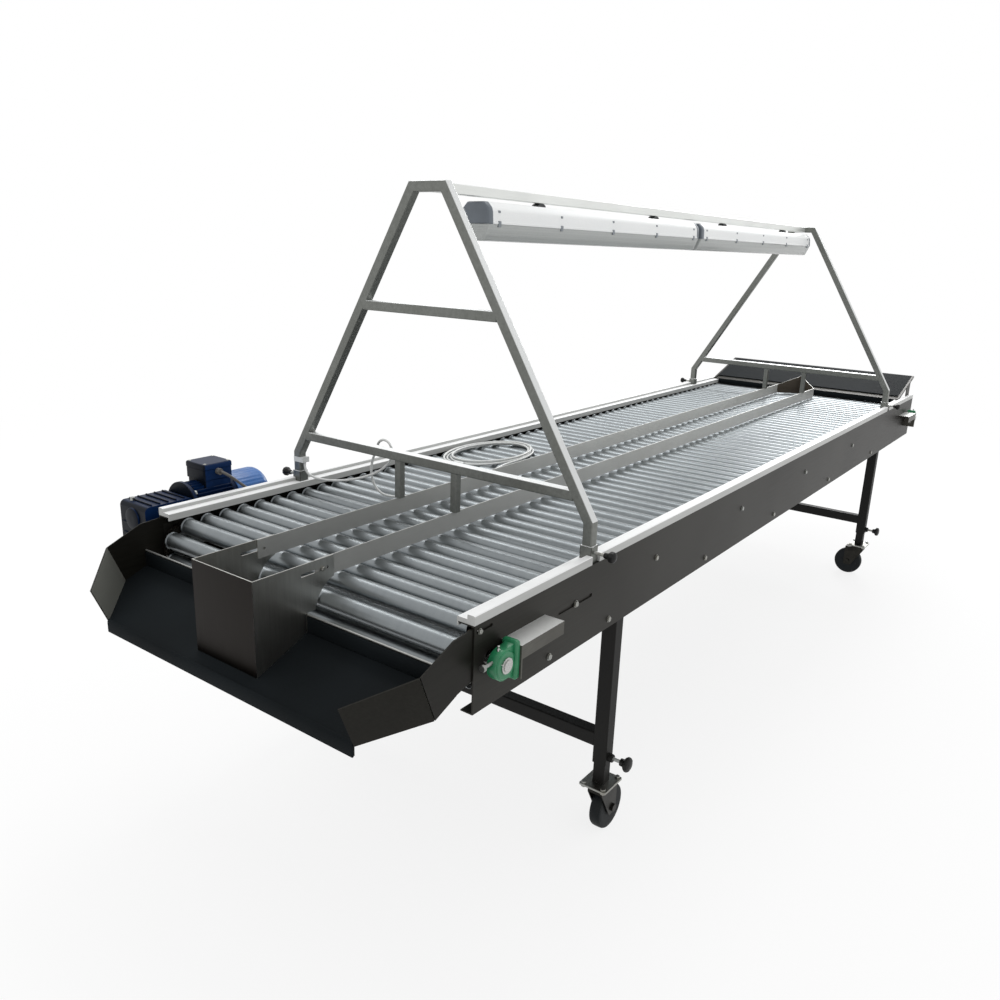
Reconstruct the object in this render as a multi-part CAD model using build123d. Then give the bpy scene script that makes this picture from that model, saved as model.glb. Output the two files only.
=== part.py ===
from build123d import *
import os
from math import atan, cos, degrees, pi, radians, sin, sqrt, tan

# Vegetable sorting conveyor: chain-carried rollers between two side panels, a lamp frame
# over the bed, a discharge chute in front, an infeed board behind and legs on castors.
# Millimetres. X runs from the discharge end to the infeed end, Y across, Z up.
# The origin is on the floor, under the middle of the side panels. "Setback" is a distance
# from the panels' front end towards +X, and "ahead" is one towards -X.

# Side panels
panel_length = 3730.0
bed_width = 1030.0
panel_bottom = 627.0
panel_height = 189.0
panel_sheet = 3.0
top_flange = 40.0
bottom_flange = 30.0

# Guard rails
rail_block_width = 18.0
rail_block_height = 20.0
rail_reach = 43.0
rail_lip_height = 10.0
rail_lip_rear_gap = 85.0
rail_notch_gap = 1.5
rail_inner_strip = 5.0

# Roller chains, sprockets and shafts
roller_pitch = 57.15
links_per_roller = 3
sprocket_teeth = 18
drive_shaft_setback = 53.0
tail_shaft_inset = 76.5
shaft_rise = 100.15
shaft_diameter = 25.0
shaft_overhang = 45.0
shaft_hole = 44.0
chain_plate_height = 18.0
chain_plate = 3.0
chain_width = 22.0
chain_web_gap = 14.0
chain_pin = 8.0
chain_seat_gap = 0.3
chain_end = 5.0
sprocket_thickness = 10.0
sprocket_tip = 3.0
sprocket_gap_diameter = 12.2
sprocket_hub_diameter = 50.0
sprocket_hub_length = 10.0
running_gap = 0.05

# Rollers
roller_diameter = 42.0
roller_wall = 1.5
disc_diameter = 46.0
disc_thickness = 4.0
axle_diameter = 12.0
axle_gap = 0.1
roller_chain_gap = 4.0

# Chain tracks and cross ties
track_gap = 0.3
track_thickness = 4.0
upper_track_leg = 45.0
lower_track_leg = 32.0
track_end_gap = 95.0
tie_diameter = 20.0
tie_height = 115.0
tie_setbacks = (767.0, 1361.0, 1988.0, 2619.0)
tie_bolt = 8.0
tie_thread_depth = 25.0
track_bolt_height = 23.0
track_bolt_setbacks = (268.0, 529.0, 1099.0, 1678.0, 2314.0, 2975.0)
slot_setback = 369.0
slot_length = 143.0
slot_width = 9.0
bolt_head_height = 5.0
bolt_head_ratio = 1.8
bolt_hole_gap = 0.25

# Lane dividers, discharge box and flow splitter
divider_offset = 96.0
divider_sheet = 3.0
divider_above_panel = 35.0
bed_clearance = 3.0
divider_ahead = 20.0
divider_end_inset = 330.0
box_sheet = 2.5
box_ahead = 184.0
box_rear_setback = 30.0
box_slot_front = 64.0
box_slot_length = 78.0
box_slot_width = 7.0
box_slot_drop = 24.0
box_bolt_ahead = 2.0
box_bolt = 6.0
splitter_length = 80.0
splitter_rise = 47.0

# Discharge chute
chute_angle = 22.0
chute_rear_ahead = 46.0
chute_rear_height = 695.4
chute_fold_ahead = 109.0
chute_front_ahead = 215.0
chute_front_half = 408.0
chute_sheet = 2.5
chute_lining = 4.0
chute_rear_flange = 41.0
chute_lip = 24.0
wing_sheet = 3.0
wing_front_height = 105.0
flap_front_height = 93.0
wing_top_gap = 6.0
wing_shoulder_ahead = 57.0
wing_shoulder_drop = 4.0
wing_tab = 62.0
wing_tab_height = 18.0
wing_bolt_setback = 16.0
wing_slot_setback = 7.0
wing_slot_length = 50.0
wing_slot_width = 7.0
reject_ahead_rear = 60.0
reject_margin = 8.0

# Infeed board
infeed_inset = 230.0
infeed_gap = 3.0
infeed_angle = 17.2
infeed_length = 298.0
infeed_side_gap = 2.0
infeed_sheet = 3.0
infeed_lining = 5.0
infeed_bare_strip = 35.0
infeed_edge_strip = 10.0
infeed_bracket_inset = 2.0
infeed_bracket_length = 70.0

# Bearings and their brackets
bearing_offset = 26.0
bearing_radius = 33.0
bearing_depth = 22.0
bearing_centre_height = 36.5
bearing_foot = 10.0
bearing_foot_length = 84.0
bearing_foot_depth = 38.0
bearing_race_radius = 26.0
bearing_ring_radius = 17.0
bearing_ring_width = 34.0
bracket_length = 154.0
bracket_depth = 49.0
bracket_sheet = 4.0
bracket_rise = 31.0
bracket_lip = 30.0
bearing_bolt_depth = 9.0
bearing_bolt = 8.0
bearing_bolt_spread = 19.0

# Worm gearmotor
gear_centre_distance = 63.0
gearbox_standoff = 33.0
gearbox_depth = 116.0
gearbox_width = 144.0
gearbox_below = 72.0
gearbox_above = 40.0
gearbox_round = 14.0
gearbox_end_wall = 9.0
gearbox_flange_radius = 55.0
wheel_radius = 46.5
wheel_width = 36.0
worm_radius = 16.0
worm_length = 70.0
cavity_gap = 4.0
motor_shaft_radius = 11.0
motor_flange_radius = 70.0
motor_flange = 12.0
motor_radius = 66.0
motor_length = 142.0
rotor_radius = 35.0
rotor_length = 90.0
rotor_gap = 0.5
fan_cover_radius = 70.0
fan_cover_length = 100.0
fan_cover_wall = 2.0
fan_radius = 56.0
fan_thickness = 14.0
fan_offset = 26.0
terminal_offset = 81.5
terminal_length = 93.0
terminal_width = 88.0
terminal_height = 46.0
terminal_wall = 4.0
terminal_pad = 4.0

# Legs and castors
leg_setback = 592.0
leg_rear_inset = 602.0
leg_tube = 40.0
leg_wall = 2.5
leg_gap = 0.5
leg_bottom = 216.0
cross_bar_bottom = 262.0
inner_leg_length = 330.0
castor_height = 158.0
castor_plate = 6.0
castor_plate_length = 92.0
castor_plate_width = 80.0
castor_bolt_spread_x = 76.0
castor_bolt_spread_y = 58.0
castor_bolt = 8.0
wheel_diameter = 125.0
wheel_tread = 34.0
wheel_edge_round = 6.0
castor_trail = 38.0
castor_axle = 12.0
fork_plate = 3.0
fork_side_gap = 2.0
fork_top = 10.0
fork_wheel_gap = 4.0
fork_nose = 17.0
swivel_radius = 27.0
swivel_gap = 0.3
castor_turn = 0.0
castor_rear_near_turn = 90.0

# Clamp knobs
leg_knob_height = 235.0
leg_knob_stud = 10.0
leg_knob_reach = 31.0
leg_knob_radius = 20.0
leg_knob_thickness = 20.0
leg_knob_dome = 6.0
leg_boss_radius = 11.0
leg_boss_length = 12.0
knob_tip_gap = 0.3
frame_knob_height = 24.0
frame_knob_stud = 8.0
frame_knob_reach = 30.0
frame_knob_radius = 16.0
frame_knob_thickness = 20.0
frame_knob_dome = 6.0

# Lamp frames
frame_tube = 25.0
frame_wall = 1.5
frame_front_setback = 449.5
frame_rear_inset = 528.0
frame_edge = 9.0
frame_knee = 913.0
frame_top = 1648.0
frame_top_half = 57.0
mid_bar_bottom = 1336.0
low_bar_bottom = 953.0
strut_width = 20.0
socket_wall = 2.2
socket_gap = 0.3
socket_height = 40.0

# Lamps
lamp_front_gap = 162.0
lamp_rear_reach = 1.5
lamp_space = 27.0
lamp_drop = 10.0
lamp_top_half = 26.5
lamp_half = 45.0
lamp_shoulder = 14.0
lamp_split = 21.0
lamp_waist = 50.0
lamp_height = 96.0
lamp_bottom_half = 26.0
lamp_wall = 2.0
lamp_cap = 14.0
lamp_tube_diameter = 26.0
lamp_tube_drop = 58.0
lamp_holder = 16.0
hanger_inset = 285.0
hanger_length = 40.0
hanger_width = 22.0
latch_inset = 45.0
latches_per_side = 5
latch_width = 16.0
latch_thickness = 3.0
latch_above = 7.0
latch_below = 14.0

# Leads, glands and plug
lamp_lead_diameter = 7.0
motor_lead_diameter = 8.0
gland_radius = 9.0
gland_length = 12.0
gland_bore = 5.0
motor_gland_offset = 43.5
motor_gland_drop = 23.0
panel_gland_width = 20.0
panel_gland_depth = 18.0
panel_gland_height = 27.0
panel_gland_offset = 82.0
panel_gland_drop = 19.0
clip_rise = 67.0
clip_length = 14.0
clip_depth = 13.0
plug_radius = 11.0
plug_length = 52.0
plug_taper = 18.0
plug_neck_wall = 1.0
plug_pin_radius = 2.4
plug_pin_length = 19.0
plug_pin_spread = 9.5
coil_centre = (1170.0, 338.0)
coil_half_length = 203.0
coil_half_width = 126.0
coil_turns_per_layer = 2
coil_left_step = 18.0
coil_right_step = 9.0
coil_side_step = 10.0
coil_flare = 17.0
coil_layer_gap = 0.6
coil_interleave = 9.0
lead_bed_gap = 0.5
clip_drop = 26.0
# The lamp lead's lay: setback, distance across and rise over its height on the bed
lamp_lead_route = (
    (455.0, 449.0, 34.0), (461.0, 409.0, 31.0), (468.0, 350.0, 38.0), (474.0, 290.0, 53.0),
    (478.0, 236.0, 73.0), (480.0, 193.0, 96.0), (480.0, 163.0, 121.0), (481.0, 152.0, 148.0),
    (484.0, 162.0, 173.0), (487.0, 187.0, 183.0), (489.0, 212.0, 173.0), (491.0, 222.0, 148.0),
    (494.0, 241.0, 117.0), (498.0, 252.0, 82.0), (504.0, 251.0, 48.0), (512.0, 243.0, 24.0),
    (526.0, 229.0, 7.0), (550.0, 211.0, 0.0), (592.0, 186.0, 0.0), (652.0, 162.0, 0.0),
    (725.0, 146.0, 0.0), (805.0, 142.0, 0.0), (885.0, 153.0, 0.0), (962.0, 178.0, 0.0),
    (1032.0, 200.0, 0.0), (1096.0, 212.0, 0.0))
# The motor lead's lay from its gland: along, across and up
motor_lead_route = (
    (0.0, -10.0, 0.0), (6.0, -20.0, -5.0), (20.0, -26.0, -17.0), (43.0, -28.0, -37.0),
    (65.0, -27.5, -55.0))
motor_lead_end = 16.0

# Places that follow from the sizes above
front = -panel_length / 2
rear = panel_length / 2
half_width = bed_width / 2
web_inner = half_width - panel_sheet
panel_top = panel_bottom + panel_height
drive_x = front + drive_shaft_setback
# The chains hold a whole number of roller pitches, and the tail shaft is set back to suit.
pitches_between_shafts = int((panel_length - drive_shaft_setback - tail_shaft_inset) / roller_pitch)
tail_x = drive_x + pitches_between_shafts * roller_pitch
shaft_z = panel_bottom + shaft_rise
shaft_radius = shaft_diameter / 2
shaft_end = half_width + shaft_overhang
pitch_radius = roller_pitch / links_per_roller / (2 * sin(pi / sprocket_teeth))
roller_step = 360.0 * links_per_roller / sprocket_teeth
rollers_on_wrap = round(180.0 / roller_step)
upper_z = shaft_z + pitch_radius
lower_z = shaft_z - pitch_radius
chain_outer = web_inner - chain_web_gap
chain_inner = chain_outer - chain_width
chain_middle = (chain_outer + chain_inner) / 2
roller_end = chain_inner - roller_chain_gap
bed_top = upper_z + roller_diameter / 2
divider_top = panel_top + divider_above_panel
divider_bottom = bed_top + bed_clearance
foot_outer = half_width - frame_edge
foot_inner = foot_outer - frame_tube
frame_xs = (front + frame_front_setback, rear - frame_rear_inset)
socket_outer = foot_outer + socket_gap + socket_wall
socket_inner = foot_inner - socket_gap - socket_wall
socket_half = frame_tube / 2 + socket_gap + socket_wall
leg_xs = (front + leg_setback, rear - leg_rear_inset)
leg_middle = half_width - leg_tube / 2
inner_leg = leg_tube - 2 * leg_wall - 2 * leg_gap
gear_y = half_width + gearbox_standoff + gearbox_depth / 2
worm_z = shaft_z + gear_centre_distance
motor_x = drive_x + gearbox_width / 2
fan_cover_x = motor_x + motor_flange + motor_length
lamp_top = frame_top - frame_tube - lamp_drop
# Two lamps fill the room between the frames, and their rear end reaches into the rear one.
lamp_front = frame_xs[0] + frame_tube / 2 + lamp_front_gap
lamp_rear = frame_xs[1] - frame_tube / 2 + lamp_rear_reach
lamp_length = (lamp_rear - lamp_front - lamp_space) / 2
hanger_spread = lamp_length / 2 - hanger_inset
latch_spacing = (lamp_length - 2 * latch_inset) / (latches_per_side - 1)
clip_height = panel_top + clip_rise
tie_z = panel_bottom + tie_height
track_bolt_z = panel_bottom + track_bolt_height
sides = (-1, 1)
nodes = {}


def block(x0, x1, y0, y1, z0, z1):
    """Return the block between two corners."""
    return Pos((x0 + x1) / 2, (y0 + y1) / 2, (z0 + z1) / 2) * Box(abs(x1 - x0), abs(y1 - y0), abs(z1 - z0))


def rod_x(y, z, radius, x0, x1):
    """Return a round bar along X."""
    return Pos((x0 + x1) / 2, y, z) * Rot(0, 90, 0) * Cylinder(radius, abs(x1 - x0))


def rod_y(x, z, radius, y0, y1):
    """Return a round bar along Y."""
    return Pos(x, (y0 + y1) / 2, z) * Rot(90, 0, 0) * Cylinder(radius, abs(y1 - y0))


def rod_z(x, y, radius, z0, z1):
    """Return a round bar along Z."""
    return Pos(x, y, (z0 + z1) / 2) * Cylinder(radius, abs(z1 - z0))


def prism(points, way):
    """Return the flat polygon through 3-D points, drawn out along a vector."""
    face = Face(Wire.make_polygon([Vector(*p) for p in points], close=True))
    return Solid.extrude(face, Vector(*way))


def plate_xz(points, y0, y1):
    """Return a plate with an outline of (x, z) points, between two planes across the bed."""
    return prism([(x, y0, z) for x, z in points], (0, y1 - y0, 0))


def plate_yz(points, x0, x1):
    """Return a plate with an outline of (y, z) points, between two planes along the bed."""
    return prism([(x0, y, z) for y, z in points], (x1 - x0, 0, 0))


def turned(outline):
    """Return the body of revolution about Y of an outline of (radius, y) points."""
    face = Face(Wire.make_polygon([Vector(r, y, 0) for r, y in outline], close=True))
    return revolve(face, Axis.Y, 360)


def slot_y(x0, x1, z, width, y0, y1):
    """Return a round-ended slot cutter along X, through the thickness between two Y planes."""
    radius = width / 2
    middle = block(x0 + radius, x1 - radius, y0, y1, z - radius, z + radius)
    return middle + rod_y(x0 + radius, z, radius, y0, y1) + rod_y(x1 - radius, z, radius, y0, y1)


def around(x, angle):
    """Return the (x, z) place on a shaft's pitch circle, with the angle from +X towards +Z."""
    return x + pitch_radius * cos(radians(angle)), shaft_z + pitch_radius * sin(radians(angle))


def save(name, solids):
    """Keep the solids of one node under its name."""
    nodes[name] = Compound(children=[s for part in solids for s in part.solids()])


# Side panels, with the lamp frame's sockets and the chain tracks

def track(side, chain_z, leg):
    """Return the angle under one run of chain: the chain slides on its level leg."""
    top = chain_z - chain_plate_height / 2 - track_gap
    x0 = drive_x + track_end_gap
    x1 = tail_x - track_end_gap
    level = block(x0, x1, side * chain_inner, side * web_inner, top - track_thickness, top)
    hanging = block(x0, x1, side * (web_inner - track_thickness), side * web_inner, top - leg, top)
    return level + hanging


def socket(side, x):
    """Return the upright square socket that takes one foot of a lamp frame."""
    z1 = panel_top + socket_height
    tube = block(x - socket_half, x + socket_half, side * socket_inner, side * socket_outer, panel_top, z1)
    half = socket_half - socket_wall
    y0 = side * (foot_inner - socket_gap)
    y1 = side * (foot_outer + socket_gap)
    tube -= block(x - half, x + half, y0, y1, panel_top, z1)
    hole = frame_knob_stud / 2 + running_gap
    return tube - rod_y(x, panel_top + frame_knob_height, hole, side * foot_outer, side * (socket_outer + 1))


def bolt_places():
    """Return the panel bolts as (x, z, diameter, inner end): ties, tracks, slot and chute wing."""
    tie_end = web_inner - track_thickness - tie_thread_depth
    track_end = web_inner - track_thickness
    places = [(front + d, tie_z, tie_bolt, tie_end) for d in tie_setbacks]
    places += [(front + d, track_bolt_z, tie_bolt, track_end) for d in track_bolt_setbacks]
    places.append((front + slot_setback, tie_z, tie_bolt, track_end))
    places.append((front + wing_bolt_setback, wing_bolt_z, box_bolt, web_inner - wing_sheet))
    return places


def side_panel(side):
    """Return one folded side panel with its bolt holes, slots and shaft holes."""
    y0 = side * web_inner
    y1 = side * half_width
    panel = block(front, rear, y0, y1, panel_bottom, panel_top)
    panel += block(front, rear, side * (half_width - top_flange), y1, panel_top - panel_sheet, panel_top)
    y2 = side * (half_width - bottom_flange)
    panel += block(front, rear, y2, y1, panel_bottom, panel_bottom + panel_sheet)
    for x in (drive_x, tail_x):
        panel -= rod_y(x, shaft_z, shaft_hole / 2, y0, y1)
    for x, z, size, _ in bolt_places():
        panel -= rod_y(x, z, size / 2 + bolt_hole_gap, y0, y1)
    x = front + slot_setback
    panel -= slot_y(x - slot_length / 2, x + slot_length / 2, tie_z, slot_width, y0, y1)
    x = front + wing_slot_setback
    panel -= slot_y(x, x + wing_slot_length, wing_bolt_z, wing_slot_width, y0, y1)
    if side > 0:
        x, z = panel_gland_place
        panel -= rod_y(x, z - panel_gland_height / 2, motor_lead_diameter / 2, y0, y1)
    return panel


def drilled_track(side, chain_z, leg):
    """Return a chain track with the holes of the bolts that pass through it."""
    angle = track(side, chain_z, leg)
    for x, z, size, _ in bolt_places():
        angle -= rod_y(x, z, size / 2 + bolt_hole_gap, side * (web_inner - track_thickness), side * web_inner)
    return angle


def guard_rail(side):
    """Return one white rail: an outer block and an inner lip, notched for the sockets."""
    z1 = panel_top + rail_block_height
    rail = block(front, rear, side * (half_width - rail_block_width), side * half_width, panel_top, z1)
    lip_end = rear - rail_lip_rear_gap
    inner = half_width - rail_reach
    rail += block(front, lip_end, side * inner, side * half_width, panel_top, panel_top + rail_lip_height)
    half = socket_half + rail_notch_gap
    for x in frame_xs:
        y0 = side * (inner + rail_inner_strip)
        rail -= block(x - half, x + half, y0, side * half_width, panel_top, z1)
    return rail


# Shafts, sprockets, chains and rollers

def sprocket(side, x, first_angle):
    """Return one sprocket with a round gap at each chain roller."""
    y0 = side * (chain_middle - sprocket_thickness / 2)
    y1 = side * (chain_middle + sprocket_thickness / 2)
    wheel = rod_y(x, shaft_z, pitch_radius + sprocket_tip, y0, y1)
    wheel += rod_y(x, shaft_z, sprocket_hub_diameter / 2, y0 - side * sprocket_hub_length, y0)
    for tooth in range(sprocket_teeth):
        gap_x, gap_z = around(x, first_angle + 360.0 * tooth / sprocket_teeth)
        wheel -= rod_y(gap_x, gap_z, sprocket_gap_diameter / 2, y0, y1)
    bore = shaft_radius + running_gap
    return wheel - rod_y(x, shaft_z, bore, y0 - side * sprocket_hub_length, y1)


def chain_pins(side, places, radius):
    """Return the chain pins at the rollers' axles, sunk into both plates."""
    y0 = side * (chain_inner + chain_plate / 2)
    y1 = side * (chain_outer - chain_plate / 2)
    return [rod_y(x, z, radius, y0, y1) for x, z in places]


def plate_spans():
    """Return the two chain plates' places across the bed."""
    return (chain_inner, chain_inner + chain_plate), (chain_outer - chain_plate, chain_outer)


def straight_chain(side, places):
    """Return one straight run of chain, from just before its first axle to just past its last."""
    x0 = places[0][0] - chain_end
    x1 = places[-1][0] + chain_end
    z = places[0][1]
    half = chain_plate_height / 2
    plates = [block(x0, x1, side * a, side * b, z - half, z + half) for a, b in plate_spans()]
    return plates[0].fuse(plates[1], *chain_pins(side, places, chain_pin / 2))


def wrapped_chain(side, x, angles):
    """Return the chain that lies round one sprocket, with a chain roller seated in each gap it meets."""
    margin = degrees(chain_end / pitch_radius)
    sweep = angles[-1] - angles[0] + 2 * margin
    half = chain_plate_height / 2
    plates = []
    for a, b in plate_spans():
        corners = [(pitch_radius - half, side * a, 0), (pitch_radius + half, side * a, 0),
                   (pitch_radius + half, side * b, 0), (pitch_radius - half, side * b, 0)]
        face = Face(Wire.make_polygon([Vector(*c) for c in corners], close=True))
        arc = revolve(face, Axis((0, 0, 0), (0, -1, 0)), sweep)
        plates.append(Pos(x, 0, shaft_z) * Rot(0, margin - angles[0], 0) * arc)
    seats = [around(x, angle) for angle in angles]
    return plates[0].fuse(plates[1], *chain_pins(side, seats, sprocket_gap_diameter / 2 - chain_seat_gap))


def roller():
    """Return one roller on the Y axis: a tube with an end disc at each end, bored for its axle."""
    bore = axle_diameter / 2 + axle_gap
    tube = roller_diameter / 2
    disc = disc_diameter / 2
    neck = roller_end - disc_thickness
    outline = [(bore, roller_end), (disc, roller_end), (disc, neck), (tube, neck)]
    outline += [(r, -y) for r, y in reversed(outline)]
    outline += [(bore, -neck), (tube - roller_wall, -neck), (tube - roller_wall, neck), (bore, neck)]
    return turned(outline)


def axles(places):
    """Return the roller axles, each held between the two chains."""
    return [rod_y(x, z, axle_diameter / 2, -chain_inner, chain_inner) for x, z in places]


def make_bed():
    """Save the rollers, chains, shafts and sprockets of the whole loop."""
    count = pitches_between_shafts
    upper = [(drive_x + roller_pitch * k, upper_z) for k in range(1, count + 1)]
    lower = [(drive_x + roller_pitch * k, lower_z) for k in range(count)]
    drive_angles = [90.0 + roller_step * k for k in range(rollers_on_wrap)]
    tail_angles = [-90.0 + roller_step * k for k in range(rollers_on_wrap)]
    drive = [around(drive_x, angle) for angle in drive_angles]
    tail = [around(tail_x, angle) for angle in tail_angles]
    one = roller()
    for name, places in (("upper", upper), ("lower", lower)):
        save(name + "_rollers", [Pos(x, 0, z) * one for x, z in places])
        save(name + "_chains", [straight_chain(side, places) for side in sides] + axles(places))
    ends = (("drive", drive_x, drive, drive_angles), ("tail", tail_x, tail, tail_angles))
    for name, x, places, angles in ends:
        chains = [wrapped_chain(side, x, angles) for side in sides]
        save(name + "_end_rollers", [Pos(a, 0, b) * one for a, b in places] + chains + axles(places))
    far_end = gear_y + wheel_width / 2
    shaft = rod_y(drive_x, shaft_z, shaft_radius, -shaft_end, far_end)
    wheel = rod_y(drive_x, shaft_z, wheel_radius, gear_y - wheel_width / 2, far_end)
    wheel -= rod_y(drive_x, shaft_z, shaft_radius + running_gap, gear_y - wheel_width / 2, far_end)
    teeth = [sprocket(side, drive_x, drive_angles[0]) for side in sides]
    save("drive_shaft", [shaft, wheel] + teeth)
    shaft = rod_y(tail_x, shaft_z, shaft_radius, -shaft_end, shaft_end)
    save("tail_shaft", [shaft] + [sprocket(side, tail_x, tail_angles[0]) for side in sides])


def make_panels():
    """Save the two side panels, the rails and the cross ties."""
    for name, side in (("near_side_panel", -1), ("far_side_panel", 1)):
        sockets = [socket(side, x) for x in frame_xs]
        runs = ((upper_z, upper_track_leg), (lower_z, lower_track_leg))
        tracks = [drilled_track(side, z, leg) for z, leg in runs]
        save(name, [side_panel(side)] + sockets + tracks)
    save("guard_rails", [guard_rail(side) for side in sides])
    tie_half = web_inner - track_thickness
    ties = []
    for setback in tie_setbacks:
        tie = rod_y(front + setback, tie_z, tie_diameter / 2, -tie_half, tie_half)
        for side in sides:
            end = side * (tie_half - tie_thread_depth)
            tie -= rod_y(front + setback, tie_z, tie_bolt / 2 + running_gap, end, side * tie_half)
        ties.append(tie)
    save("cross_ties", ties)


# Bearings and brackets

def bearing(side, x, way):
    """Return a bearing block, its insert, its bracket and screws. way points from the foot to the dome."""
    middle = side * (half_width + bearing_offset)
    base = x - way * bearing_centre_height
    y0, y1 = middle - bearing_depth / 2, middle + bearing_depth / 2
    body = rod_y(x, shaft_z, bearing_radius, y0, y1)
    body += block(base, x, y0, y1, shaft_z - bearing_radius, shaft_z + bearing_radius)
    foot, tall = bearing_foot_depth / 2, bearing_foot_length / 2
    body += block(base, base + way * bearing_foot, middle - foot, middle + foot, shaft_z - tall, shaft_z + tall)
    body -= rod_y(x, shaft_z, bearing_race_radius + running_gap, y0, y1)
    ring = bearing_ring_width / 2
    insert = rod_y(x, shaft_z, bearing_race_radius, y0, y1)
    insert += rod_y(x, shaft_z, bearing_ring_radius, middle - ring, middle + ring)
    insert -= rod_y(x, shaft_z, shaft_radius + running_gap, middle - ring, middle + ring)

    wall = side * half_width
    edge = side * (half_width + bracket_depth)
    skin = side * (half_width + bracket_depth - bracket_sheet)
    top = shaft_z + bracket_rise
    start = base - way * bracket_sheet
    far = base - way * bracket_length
    bracket = block(base, start, wall, edge, shaft_z - tall, top)
    bracket += block(base, far, wall, edge, top - bracket_sheet, top)
    bracket += block(base, far, skin, edge, top - bracket_lip, top)
    screws = []
    for dz in (-bearing_bolt_spread, bearing_bolt_spread):
        hole = bearing_bolt / 2 + bolt_hole_gap
        bracket -= rod_x(middle, shaft_z + dz, hole, start, base)
        depth = base + way * bearing_bolt_depth
        body -= rod_x(middle, shaft_z + dz, bearing_bolt / 2 + running_gap, base, depth)
        shank = rod_x(middle, shaft_z + dz, bearing_bolt / 2, start, depth)
        head = bearing_bolt * bolt_head_ratio / 2
        screws.append(shank + rod_x(middle, shaft_z + dz, head, start - way * bolt_head_height, start))
    return body, insert, bracket, screws


def make_bearings():
    """Save the three bearing blocks and brackets: the gearbox carries the drive shaft's far end."""
    blocks = []
    brackets = []
    screws = []
    for side, x, way in ((-1, drive_x, -1), (-1, tail_x, 1), (1, tail_x, 1)):
        body, insert, bracket, bolts = bearing(side, x, way)
        blocks += [body, insert]
        brackets.append(bracket)
        screws += bolts
    save("bearing_blocks", blocks)
    save("bearing_brackets", brackets)
    return screws


# Gearmotor

def make_gearmotor():
    """Save the worm gearbox, the motor, its fan cover, terminal box and turning parts."""
    y0 = half_width + gearbox_standoff
    y1 = y0 + gearbox_depth
    half = gearbox_width / 2
    body = block(drive_x - half, drive_x + half, y0, y1, shaft_z - gearbox_below, worm_z + gearbox_above)
    body = fillet(body.edges().filter_by(Axis.Y), gearbox_round)
    body += rod_y(drive_x, shaft_z, gearbox_flange_radius, half_width, y0)
    cavity = wheel_width / 2 + cavity_gap
    body -= rod_y(drive_x, shaft_z, wheel_radius + cavity_gap, gear_y - cavity, gear_y + cavity)
    body -= rod_y(drive_x, shaft_z, shaft_radius + running_gap, half_width, gear_y)
    body -= rod_x(gear_y, worm_z, worm_radius + cavity_gap, drive_x - half + gearbox_end_wall * 2, motor_x)
    worm_end = drive_x - half + gearbox_end_wall
    body -= rod_x(gear_y, worm_z, motor_shaft_radius + running_gap, worm_end, motor_x)
    save("gearbox_housing", [body])

    x0 = motor_x + motor_flange
    stator = rod_x(gear_y, worm_z, motor_flange_radius, motor_x, x0)
    stator += rod_x(gear_y, worm_z, motor_radius, x0, fan_cover_x)
    pad0 = x0 + terminal_offset - terminal_length / 2
    pad1 = pad0 + terminal_length
    pad_z = worm_z + motor_radius + terminal_pad
    pad_half = terminal_width / 2 - terminal_wall
    x1, x2 = pad0 + terminal_wall, pad1 - terminal_wall
    stator += block(x1, x2, gear_y - pad_half, gear_y + pad_half, worm_z, pad_z)
    middle = (x0 + fan_cover_x) / 2
    room = rotor_length / 2 + cavity_gap
    stator -= rod_x(gear_y, worm_z, rotor_radius + rotor_gap, middle - room, middle + room)
    stator -= rod_x(gear_y, worm_z, motor_shaft_radius + running_gap, motor_x, fan_cover_x)

    cover_end = fan_cover_x + fan_cover_length
    cover = rod_x(gear_y, worm_z, fan_cover_radius, fan_cover_x, cover_end)
    cover -= rod_x(gear_y, worm_z, fan_cover_radius - fan_cover_wall, fan_cover_x, cover_end - fan_cover_wall)
    rim = motor_flange
    cover += rod_x(gear_y, worm_z, fan_cover_radius, fan_cover_x - rim, fan_cover_x)
    cover -= rod_x(gear_y, worm_z, motor_radius, fan_cover_x - rim, fan_cover_x)
    save("fan_cover", [cover])

    y_low = gear_y - terminal_width / 2
    y_high = gear_y + terminal_width / 2
    box = block(pad0, pad1, y_low, y_high, pad_z, pad_z + terminal_height)
    box = fillet(box.edges().filter_by(Axis.Z), terminal_wall)
    wall = terminal_wall
    box -= block(pad0 + wall, pad1 - wall, y_low + wall, y_high - wall, pad_z, pad_z + terminal_height - wall)
    gland_x, gland_z = motor_gland_place
    box -= rod_y(gland_x, gland_z, motor_lead_diameter / 2, y_low, y_low + wall)
    save("motor_housing", [stator, box])

    fan_x = fan_cover_x + fan_offset
    rotor = rod_x(gear_y, worm_z, motor_shaft_radius, worm_end + rotor_gap, fan_x + fan_thickness)
    rotor += rod_x(gear_y, worm_z, worm_radius, drive_x - worm_length / 2, drive_x + worm_length / 2)
    rotor += rod_x(gear_y, worm_z, rotor_radius, middle - rotor_length / 2, middle + rotor_length / 2)
    rotor += rod_x(gear_y, worm_z, fan_radius, fan_x, fan_x + fan_thickness)
    save("motor_rotor", [rotor])


# Dividers, discharge box, chute and infeed board

def floor_z(ahead):
    """Return the height of the chute's lined surface at a distance ahead of the panels."""
    return chute_rear_height - (ahead - chute_rear_ahead) * tan(radians(chute_angle))


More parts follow.
